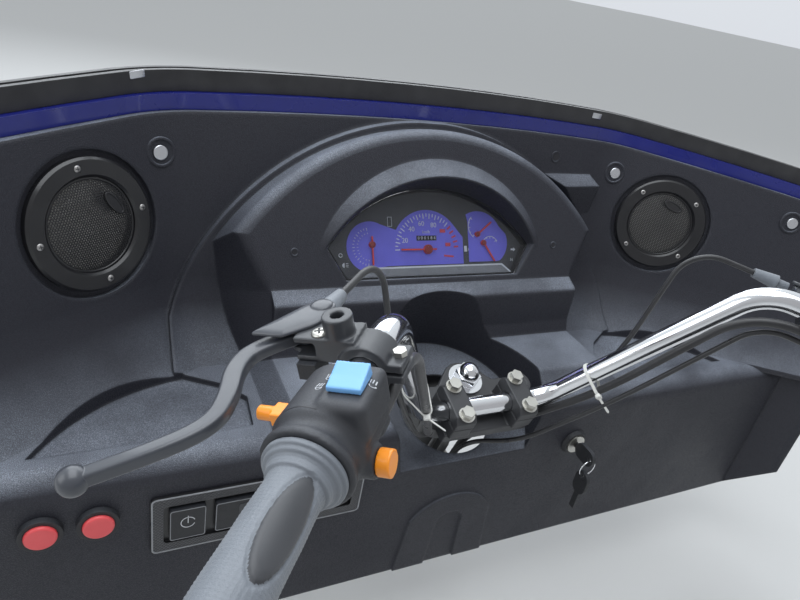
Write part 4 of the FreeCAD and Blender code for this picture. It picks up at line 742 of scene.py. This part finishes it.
# Words: text, size and middle
DIAL_WORDS = [("20", 8.8, -36.5, 46.5), ("40", 8.8, -26.5, 60.5), ("60", 8.8, -12.5, 67.5),
              ("80", 8.8, 5, 65.5), ("km/h", 5.6, -6, 57), ("N", 5.8, 124, 18.5), ("E", 5, 80, 44),
              ("F", 5, 101, 44)]
RED_BLOCKS = [block(14, 56, 22, 60.5), block(21.5, 38.5, 29, 43),
              [(19, 25.5), (33, 24), (33, 26.2), (19, 27.7)]]
ODOMETER = "000184"
NEEDLE_HUBS = [(-82, 42, 3.7), (-5, 35, 5.7), (70, 53.5, 3.2), (79, 42, 3.2)]  # centre and radius
LOWER_TRIM = [(-111.5, -0.5), (-90.5, 12.8), (106, 12.8), (124, -0.5)]
TRIM_EDGE = [(-112.5, -0.5), (-91.2, 14), (106.7, 14), (125, -0.5), (122.8, -0.5), (105.8, 12.2),
             (-90.2, 12.2), (-110.3, -0.5)]


def ticks(centre, r, long, short, start, end, count, every, width):
    """Outlines of a ring of tick marks."""
    marks = []
    for k in range(count):
        a = radians(start + (end - start) * k / (count - 1))
        inner = r - (long if k % every == 0 else short)
        marks.append([(centre[0] + x * cos(a) - y * sin(a), centre[1] + x * sin(a) + y * cos(a))
                      for x, y in block(r, -width / 2, inner, width / 2)])
    return marks


def signs():
    """Outlines of plain signs beside the dials: lamp, ring, arrow, tall frame and pump."""
    out = [[arc_points(-118.5, 18, 3, 90, 270, 10)]]
    for y in (16, 18, 20):
        out.append([[(-116.8, y), (-113.5, y - 0.4), (-113.5, y + 0.3), (-116.8, y + 0.7)]])
    arrow = [(0, 2.8), (0, 1.2), (-4, 1.2), (-4, -1.2), (0, -1.2), (0, -2.8), (3.8, 0)]
    out += [[ring_band(-123, 30, 2.6, 0.8, 0, 350, 20)], [[(127.5 + x, 32.5 + y) for x, y in arrow]],
            [block(-59.5, 64, -53.5, 76), block(-58.9, 64.6, -54.1, 75.4)], [block(49.5, 31, 53.5, 38.5)],
            [ring_band(54.5, 34, 2, 0.6, -80, 60, 8)]]
    return out


def dial():
    """Coloured fields, tick marks, numbers and signs printed on the dial, needle hubs and lower trim."""
    def lay(name, meshes, material, height):
        piece(name, joined(meshes), "dashboard", "dial", DIAL @ shift(z=height), material, False)

    field = (arc_points(*LEFT_GAUGE, 31, 62, 250, 30) + [(-60, FIELD_LOW), (48, FIELD_LOW), (48, 50)]
             + arc_points(*SPEEDO, 50, 42, 150, 24))
    right = (arc_points(72, 46, 38, 118, 28, 12) + arc_points(88, 43, 30, 20, -55, 12)
             + [(100, 17.5), (56.5, 17.5), (56.5, 70)])
    lay("dial_fields", [flat_shape([field], PRINT), flat_shape([right], PRINT)], DIAL_VIOLET, PRINT)

    white = [[mark] for ring in WHITE_RINGS for mark in ticks(*ring)]
    white += [[ring_band(*UPPER_GAUGE, 17.5, 0.9, 135, 236)], [ring_band(*LOWER_GAUGE, 12.5, 0.9, 30, 150)]]
    shapes = [flat_shape(outlines, PRINT) for outlines in white + signs()]
    lay("dial_marks", shapes + [lettering(*word) for word in DIAL_WORDS], PRINT_WHITE_AND_HIGHLIGHT, 2 * PRINT)
    red = [flat_shape([mark], PRINT) for mark in ticks(*RED_RING) + RED_BLOCKS]
    lay("dial_red_marks", red, PRINT_RED, 2 * PRINT)
    lay("odometer_window", [flat_shape([block(-20, 46.2, 8.5, 52.4)], PRINT)], COUNTER_BLACK_AND_SHADE, 2 * PRINT)
    digits = [lettering(digit, 5.6, -17.2 + 4.6 * k, 49.3) for k, digit in enumerate(ODOMETER)]
    lay("odometer_digits", digits, PRINT_WHITE_AND_HIGHLIGHT, 3 * PRINT)
    for k, (x, y, r) in enumerate(NEEDLE_HUBS):
        hub = turned_mesh([(r, 3.8), (r, 4.6), (r * 0.8, 5.1), (0.1, 5.2)], 32)
        creases(piece("needle_hub_%d" % k, hub, "dashboard", "dial", DIAL @ shift(x, y), NEEDLE_HUB))
    lay("dial_lower_trim", [flat_shape([LOWER_TRIM], 1.6, 0.3)], TRIM_GREY, 1.2)
    lay("dial_trim_edge", [flat_shape([TRIM_EDGE], 2.2, 0.2)], PRINT_WHITE_AND_HIGHLIGHT, 1.4)


# Grips, along the hand frame's x
GRIP_X0, GRIP_NECK, GRIP_X1 = 147.3, 160.3, 269.3
GRIP_STEPS, GRIP_RINGS, NECK_RINGS = 128, 186, 64
PAD_MID, PAD_LONG, PAD_WIDE, PAD_TURN = 189.5, 28.5, 10.2, radians(136)
CHECKER_X = (160, 264)
CHECKER_LONG, CHECKERS_ROUND = 2.4, 20
PAD_RISE, PAD_GROOVE = 0.6, 0.9
PAD_SLOPE, PAD_END, GROOVE_END = 6, 1.05, 1.1  # ends are shares of the pad's outline
CHECKER_RISE, CHECKER_ROUND, CHECKER_SINK = 0.45, 0.7, 0.3
GRIP_LINE = [(147.3, 23.6), (148, 24), (150.2, 24), (150.8, 23.6), (151.1, 22.2), (152.8, 21.8),
             (153.4, 21.3), (153.7, 19.6), (155.6, 18.6), (158.4, 18), (159, 17.6), (159.3, 16.2),
             (164, 15.8), (190, 16.6), (225, 17.2), (258, 16.8), (264, 15.8), (267.5, 13.5), (269.3, 11)]


def grip_radius(x):
    """Outer radius along the grip: stepped flange, neck and slightly crowned barrel."""
    for (xa, ra), (xb, rb) in zip(GRIP_LINE, GRIP_LINE[1:]):
        if x <= xb:
            t = (x - xa) / (xb - xa)
            return ra + (rb - ra) * t * t * (3 - 2 * t)
    return GRIP_LINE[-1][1]


def grip(word, side):
    """Rubber grip with a checkered barrel and a smooth raised pad in a groove."""
    verts, pads = [], []
    neck = [GRIP_X0 + (GRIP_NECK - GRIP_X0) * j / NECK_RINGS for j in range(NECK_RINGS)]
    count = GRIP_RINGS - NECK_RINGS
    barrel = [GRIP_NECK + (GRIP_X1 - GRIP_NECK) * j / (count - 1) for j in range(count)]
    for x in neck + barrel:
        for i in range(GRIP_STEPS):
            a = 2 * pi * i / GRIP_STEPS
            r = grip_radius(x)
            across = r * ((a - PAD_TURN + pi) % (2 * pi) - pi)
            d = math.hypot((x - PAD_MID) / PAD_LONG, across / PAD_WIDE)
            if d < 1:
                r += PAD_RISE * min(1, (1 - d) * PAD_SLOPE)
            elif d < GROOVE_END:
                r -= PAD_GROOVE
            elif CHECKER_X[0] < x < CHECKER_X[1]:
                u, w = x / CHECKER_LONG, a * CHECKERS_ROUND / pi
                peak = max(0, cos(pi * (u + w)) * cos(pi * (u - w)))
                r += CHECKER_RISE * (peak ** CHECKER_ROUND - CHECKER_SINK)
            pads.append(d < PAD_END)
            verts.append((x, r * cos(a), side * r * sin(a)))
    skin = mesh_of(verts, tube_faces(GRIP_RINGS, GRIP_STEPS))
    made = piece("grip_rubber_" + word, skin, "steering", "rubber", hand_frame(side))
    made.data.materials.append(PAD_RUBBER)
    for poly in made.data.polygons:
        if len(poly.vertices) == 4 and all(pads[v] for v in poly.vertices):
            poly.material_index = 1
    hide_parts("grip_" + word)


# Levers
LEVER_LINE = [(40, 46), (62, 72), (86, 75), (113, 63), (137, 60), (164, 84), (187, 111)]
LEVER_Z = 12
BLADE_WIDE, BLADE_TAPER, TAPER_FROM, BLADE_THICK = 6.6, 2.6, 0.3, 4.4
BLADE_RING, BLADE_SQUARE = 36, 0.42
LEVER_EYE = [(0.1, -4.5), (8.5, -4.5), (9, -4), (9, 4), (8.5, 4.5), (0.1, 4.5)]


def lever_blade(points):
    """Blade of rounded box section along points in one plane, wide in that plane and narrower at its end."""
    verts = []
    last = len(points) - 1
    for j, p in enumerate(points):
        ahead = (points[min(j + 1, last)] - points[max(j - 1, 0)]).normalized()
        across = Z.cross(ahead).normalized() * (BLADE_WIDE - BLADE_TAPER * max(0.0, j / last - TAPER_FROM))
        for i in range(BLADE_RING):
            c, s = cos(2 * pi * i / BLADE_RING), sin(2 * pi * i / BLADE_RING)
            out, up = (math.copysign(abs(v) ** BLADE_SQUARE, v) for v in (c, s))
            verts.append(p + across * out + Z * (BLADE_THICK * up))
    return mesh_of(verts, tube_faces(len(points), BLADE_RING))


def ball(radius):
    work = bmesh.new()
    bmesh.ops.create_uvsphere(work, u_segments=32, v_segments=20, radius=radius * MM)
    mesh = bpy.data.meshes.new("ball")
    work.to_mesh(mesh)
    work.free()
    return mesh


def lever(word, side):
    """Curved lever with the eye of its pivot and a ball at its end."""
    line = smooth_line([(x, y, side * LEVER_Z) for x, y in LEVER_LINE], 10)
    eye = turned_mesh(LEVER_EYE, 32)
    parts = [lever_blade(line), (ball(8.5), shift(*line[-1])), (eye, shift(*LEVER_LINE[0], side * LEVER_Z))]
    made = piece("lever_blade_" + word, joined(parts), "steering", "lever_metal", hand_frame(side))
    creases(made, 50)
    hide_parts("lever_" + word)


# Voxel size and rounds of smoothing for the castings and mouldings of the hand controls
SOFTENED = {"perch_left": (0.8, 6), "perch_right": (0.8, 6), "top_bracket": (1.0, 5), "bar_clamps": (0.9, 5),
            "switch_housing_left": (1.1, 16), "switch_housing_right": (1.1, 16), "dip_switch": (0.6, 5),
            "indicator_switch": (0.6, 6), "horn_button": (0.6, 4)}


def castings():
    for name, (voxel, rounds) in SOFTENED.items():
        softened(name, voxel, rounds, HOUSING_PLASTIC if "housing" in name else None)


COVER_LINE = [(13.5, 42), (17, 50), (34, 60), (50, 69.5), (59, 75), (60.5, 75), (60.8, 73), (60.8, 54),
              (60, 52), (52, 43), (44, 34.5), (32, 32), (21, 31.5), (16, 35)]
COVER_LOW = 20.8
# Share of the outline, and rise over the cover's foot
COVER_CROWN = [(1, 0), (1, 1), (0.97, 1.7), (0.88, 2.4), (0.7, 3), (0.45, 3.4), (0.2, 3.6)]
COVER_BUMP = [(7.8, -22.5), (7.8, -23.8), (6.8, -24.7), (4.5, -25.2), (0.1, -25.3)]


def lever_cover():
    """Smooth crowned leaf over the lever's pivot, with a round bump at its inner end."""
    rim = smooth_line([(x, y, 0) for x, y in COVER_LINE + COVER_LINE[:2]], 6)[3:-3]
    centre = sum(rim, Vector()) / len(rim)
    verts = [centre + (p - centre) * share - Z * (COVER_LOW + rise)
             for share, rise in COVER_CROWN for p in rim]
    leaf = mesh_of(verts, tube_faces(len(COVER_CROWN), len(rim)))
    bump = turned_mesh(COVER_BUMP, 32)
    made = piece("lever_cover_leaf", joined([leaf, (bump, shift(24, 41))]), "steering", "lever_metal",
                 hand_frame(-1))
    creases(made, 50)
    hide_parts("lever_cover")


# Printed lamp signs on the left switch housing: place along and across it, and the beams' slant
HOUSING_SIGNS = [(103, 0.5, 0), (112, 3, -18), (108, -27.2, 0)]
PRINT_Z = 34  # above the housing, from where prints are laid down on it
SIGN_THICK = 0.2
BEAM_FROM, BEAM_TO, BEAM_WIDE = -0.8, -3.6, 0.5


def hand_prints():
    """Lamp signs, seam, and a painted highlight along the rim, on the left switch housing."""
    hand = hand_frame(-1) @ Matrix.Diagonal((1, 1, -1, 1))
    housing = tree_of(bpy.data.objects["soft_switch_housing_left"])

    def lay(name, mesh, material, lift, x=0.0, y=0.0):
        mesh = draped(mesh, hand @ shift(x, y, PRINT_Z), housing, lift)
        piece(name, mesh, "steering", "black_plastic", material=material, smooth=False)

    for k, (x, y, slant) in enumerate(HOUSING_SIGNS):
        lamp = [arc_points(0, 0, 2.1, -90, 90, 9), arc_points(0.3, 0, 1.5, -90, 90, 9)]
        marks = [flat_shape(lamp, SIGN_THICK)]
        drop = math.tan(radians(slant)) * (BEAM_FROM - BEAM_TO)
        for low in (-1.5, 0, 1.5):
            beam = [(BEAM_FROM, low), (BEAM_TO, low + drop), (BEAM_TO, low + drop + BEAM_WIDE),
                    (BEAM_FROM, low + BEAM_WIDE)]
            marks.append(flat_shape([beam], SIGN_THICK))
        lay("housing_sign_%d" % k, joined(marks), PRINT_WHITE_AND_HIGHLIGHT, 0.1, x, y)
    seam = [(130 - 1.2 * sin(k / 16 * pi), 1.6 * k - 4) for k in range(17)]
    lay("housing_seam", flat_shape([strip(seam, 0.8)], SIGN_THICK), COUNTER_BLACK_AND_SHADE, 0.0)
    # Pale strip along the housing's rim: painted highlight of light caught on its edge
    rim = [(88, 1.6 * k - 17) for k in range(15)]
    lay("housing_rim_highlight", flat_shape([strip(rim, 0.7)], SIGN_THICK), PRINT_WHITE_AND_HIGHLIGHT, 0.1)


PERCH_SCREW = (52.5, 30, 50)  # in the hand's frame, the last from where the screw is seated


def perch_screws():
    """A cross-head screw on each lever bracket."""
    for word, side in SIDES:
        hand = hand_frame(side)
        x, y, above = PERCH_SCREW
        start = hand @ (Vector((x, y, above * side)) * MM)
        place = seat(tree_of(bpy.data.objects["soft_perch_" + word]), start, hand.col[2].to_3d() * -side)
        screws("perch_screw_" + word, [place], 5.6, 2.2, "steering", MAT["zinc_steel"])


# Small things on the dashboard, at x and z in metres
CAP_SPOTS = [(-0.318, 0.3203), (0.318, 0.3203), (-0.5424, 0.3043), (0.5424, 0.3043)]
CAP_RIM = [(12.4, -3), (12.4, 2.2), (13.2, 2.9), (15, 3), (16, 2.2), (16.4, -3)]
RECESSES = [(0.2086, 0.3365, 6.2), (-0.1849, 0.2356, 3.6), (0.1803, 0.2376, 3.6)]  # the last is the radius
RECESS_RIM = [(1.35, -0.6), (1.3, 0.5), (1.1, 0.8), (1, 0.4), (0.8, -0.4)]  # share of the radius, and height
# share of the radius that the disc of painted shade in each hollow covers
RECESS_SHADE = 0.78


def cap_rings():
    """Round recess rims about the four cover caps, and about an empty screw recess and two fixing dimples, each of
    these three with a dark disc of painted shade in its hollow.
    """
    panel = tree_of(NODES["dash_panel"])

    def add(name, profile, steps, place, **more):
        return piece(name, turned_mesh(profile, steps), "dashboard", "moulding", place, **more)

    for k, (x, z) in enumerate(CAP_SPOTS):
        creases(add("cap_rim_%d" % k, CAP_RIM, 48, seat(panel, (x, LOOK_Y, z), (0, 1, 0))), 60)
    for k, (x, z, r) in enumerate(RECESSES):
        place = seat(panel, (x, LOOK_Y, z), (0, 1, 0)) @ shift(z=0.3)
        rim = [(r * share, height) for share, height in RECESS_RIM] + [(0.1, -0.5)]
        creases(add("screw_recess_%d" % k, rim, 32, place), 60)
        # Dark disc in the hollow: painted shade of the hole
        shade_disc = [(r * RECESS_SHADE, 0.1), (0.1, 0.1)]
        add("screw_recess_hole_%d" % k, shade_disc, 24, place, material=COUNTER_BLACK_AND_SHADE, smooth=False)


RADIO_MID = Vector((-0.243, FASCIA_Y - 0.003, 0.028))
RADIO_KEYS = [(-76, 34, 40), (9, 118, 38), (84, 24, 22)]  # middle, width and height
RADIO_SIGNS = [[(x, -15), (x, -11), (x + 3.5, -13)] for x in (-30, -10, 10)]
RADIO_SIGNS += [ring_band(-76, 2, 7, 0.8, 20, 340, 24), block(-76.4, 1, -75.6, 10.5),
                [(81.5, -3), (81.5, 3), (87, 0)]]


def radio():
    """Woven trim, silver outline, display and plain signs on the radio's face."""
    face = axes(RADIO_MID, X, Z, Vector((0, -1, 0)))
    low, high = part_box("radio_body")
    w, h = (high.x - low.x) / MM, (high.z - low.z) / MM
    keys = (RADIO_MID.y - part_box("radio_keys")[0].y) / MM

    def lay(name, meshes, material, height, smooth=False):
        piece(name, joined(meshes), "dashboard", "radio_grey", face @ shift(z=height), material, smooth)

    trim = flat_shape([round_box(w - 3, h - 3, 4.5), round_box(w - 23.5, h - 24.5, 3)], 0.4)
    lay("radio_woven_trim", [trim], WOVEN_TRIM, 0.3)
    edge = flat_shape([round_box(w - 1.2, h - 1.2, 5), round_box(w - 3.6, h - 3.6, 4)], 0.6, 0.2)
    lay("radio_outline", [edge], TRIM_GREY, 0.4, True)
    rims = []
    for x, wide, tall in RADIO_KEYS:
        bands = [round_box(wide - 0.8, tall - 0.8, 2.4, x), round_box(wide - 2.4, tall - 2.4, 1.8, x)]
        rims.append(flat_shape(bands, 0.3))
    lay("radio_key_rims", rims, TRIM_GREY, keys + 0.2)
    lay("radio_display", [flat_shape([round_box(72, 20, 2, 9, 3)], 0.3)], DISPLAY_GLASS, keys + 0.2)
    lay("radio_signs", [flat_shape([sign], 0.2) for sign in RADIO_SIGNS], PRINT_WHITE_AND_HIGHLIGHT, keys + 0.3)


SEAL_CLIPS = [(-0.3385, 8), (0.2766, -4)]  # x in metres and turn
CLIP_Z = 0.394


def seal_clips():
    """Small bent metal clips over the top edge of the windscreen rubber."""
    seal = tree_of(NODES["windscreen_seal"])
    for k, (x, turn) in enumerate(SEAL_CLIPS):
        place = seat(seal, (x, LOOK_Y, CLIP_Z), (0, 1, 0)) @ shift(z=0.3) @ spin(turn)
        clip = flat_shape([round_box(16, 7, 1.2)], 0.5, 0.2)
        creases(piece("seal_clip_%d" % k, clip, "dashboard", "silver_caps", place))


# Zip ties: side, middle in metres, the head's angle, and circles of the bar and cables in the tie's plane
TIES = {"right": (1, (0.1133, -0.3141, 0.1705), -150,
                  [(-2.5, 2.1, 11.3), (-18.3, -13, 4.7), (12.2, -6.2, 3)]),
        "left": (-1, (-0.1263, -0.3266, 0.1923), -62, [(2.1, 1.8, 11.3), (19, -12.8, 4.7)])}
BAR_RUN = Vector((0.459, -0.44, 0.77))  # way that the right half of the bar runs at its tie
TIE_WIDE, TIE_THICK = 3.6, 1.2
HEAD_OUT, TAIL_OUT = 2.6, 3.0  # how far their middles stand out from the tie's line
TAIL_ALONG, TAIL_AWAY = 0.75, 0.66  # shares of the tail's way, along the tie and out from it
TIE_TAIL = [(0, -1.1), (19, -1.1), (20.5, 0), (19, 1.1), (0, 1.1)]


def zip_ties():
    """Pale ties pulled round the bar with the cables beside it, each with its head and cut tail."""
    for word, (side, mid, angle, circles) in TIES.items():
        line = hull_line(circles)
        n = len(line)
        verts = []
        for grow, z in ((0.0, -0.5), (TIE_THICK, -0.42), (TIE_THICK, 0.42), (0.0, 0.5)):
            for i, (x, y) in enumerate(line):
                (ax, ay), (bx, by) = line[i - 1], line[(i + 1) % n]
                out = Vector((by - ay, ax - bx)).normalized() * grow
                verts.append((x + out.x, y + out.y, z * TIE_WIDE))
        loop = mesh_of(verts, tube_faces(4, n, looped=True))
        out = Vector((cos(radians(angle)), sin(radians(angle)), 0))
        spot = max((Vector((x, y, 0)) * MM for x, y in line), key=out.dot)
        across = Vector((-out.y, out.x, 0))
        slant = (across * TAIL_ALONG + out * TAIL_AWAY).normalized()
        head_at = axes(spot + out * HEAD_OUT * MM, across, Z, across.cross(Z))
        tail_at = axes(spot + out * TAIL_OUT * MM, slant, Z, slant.cross(Z))
        head, tail = flat_shape([round_box(5.8, 4.8, 0.8)], 3.6, 0.4), flat_shape([TIE_TAIL], 0.8, 0.2)
        place = facing(mid, (BAR_RUN.x * side, BAR_RUN.y, BAR_RUN.z))
        whole = joined([loop, (head, head_at), (tail, tail_at)])
        creases(piece("zip_tie_" + word, whole, "steering", "silver_caps", place, TIE_WHITE), 40)


# Stage, light and camera
FLOOR_DROP, FLOOR_HALF = 0.12, 60.0
LAMP_AIM = Vector((0, -0.1, 0.1))
# Lamps: name, place, size, power and colour
LAMPS = [("windscreen light", (0.6, 2.3, 1.9), (4.2, 2.0), 60, (0.9, 0.95, 1.0)),
         ("roof light", (-0.2, -0.1, 2.1), (2.4, 1.6), 34, (0.92, 0.96, 1.0)),
         ("left door light", (-2.3, -0.3, 1.2), (1.4, 1.6), 12, (0.95, 0.98, 1.0))]
SKY_HIGH, SKY_LOW, SKY_BEHIND = (0.9, 0.96, 1.0), (0.7, 0.73, 0.78), (0.42, 0.425, 0.44)
CAMERA_AT = Vector((-0.3946, -0.736, 0.542))
CAMERA_YAW, CAMERA_PITCH, CAMERA_ROLL = radians(29.9), radians(27.9), radians(11.6)
SENSOR, FOCAL_PIXELS, FRAME_PIXELS = 36, 634.9, 800


def placed(name, data, place):
    made = bpy.data.objects.new(name, data)
    made.matrix_world = place
    bpy.context.scene.collection.objects.link(made)
    return made


def stage():
    s, z = FLOOR_HALF, cad_box[0].z - FLOOR_DROP
    mesh = bpy.data.meshes.new("floor")
    mesh.from_pydata([(x, y, z) for x, y in block(-s, -s, s, s)], [], [(0, 1, 2, 3)])
    mesh.materials.append(finish("studio floor", (0.56, 0.56, 0.555), 0.7)[0])
    placed("floor", mesh, Matrix())


def sky():
    """Pale studio surround: bright above, softer towards the horizon and behind."""
    world = bpy.data.worlds.new("studio")
    bpy.context.scene.world = world
    world.use_nodes = True
    tree = world.node_tree
    way = node(tree, "SeparateXYZ", {0: node(tree, "TexCoord").outputs["Generated"]}).outputs
    tone = blend_colour(tree, spread(tree, way["Z"], -0.05, 0.7), SKY_LOW, SKY_HIGH)
    tone = blend_colour(tree, spread(tree, way["Y"], -0.7, 0.5), SKY_BEHIND, tone)
    back = tree.nodes["Background"]
    put(tree, back.inputs["Color"], tone)
    back.inputs["Strength"].default_value = 1.0


def lights():
    for name, at, size, power, colour in LAMPS:
        data = bpy.data.lights.new(name, "AREA")
        data.shape, data.energy, data.color = "RECTANGLE", power, colour
        data.size, data.size_y = size
        turn = (LAMP_AIM - Vector(at)).to_track_quat("-Z", "Y")
        placed(name, data, Matrix.Translation(at) @ turn.to_matrix().to_4x4())


def camera():
    """Camera at the photograph's viewing angle."""
    yaw, pitch, roll = CAMERA_YAW, CAMERA_PITCH, CAMERA_ROLL
    ahead = Vector((sin(yaw) * cos(pitch), cos(yaw) * cos(pitch), -sin(pitch)))
    level = Vector((cos(yaw), -sin(yaw), 0))
    upright = level.cross(ahead)
    data = bpy.data.cameras.new("camera")
    data.lens, data.sensor_width, data.clip_start = SENSOR * FOCAL_PIXELS / FRAME_PIXELS, SENSOR, 0.01
    right, up = level * cos(roll) + upright * sin(roll), upright * cos(roll) - level * sin(roll)
    bpy.context.scene.camera = placed("camera", data, axes(CAMERA_AT, right, up, -ahead))


bpy.context.scene.view_settings.view_transform = "Standard"
dress_nodes()
for word, side in SIDES:
    speaker(word, side)
    grip(word, side)
    lever(word, side)
castings()
lever_cover()
hand_prints()
perch_screws()
dial()
radio()
cap_rings()
seal_clips()
zip_ties()
stage()
sky()
lights()
camera()
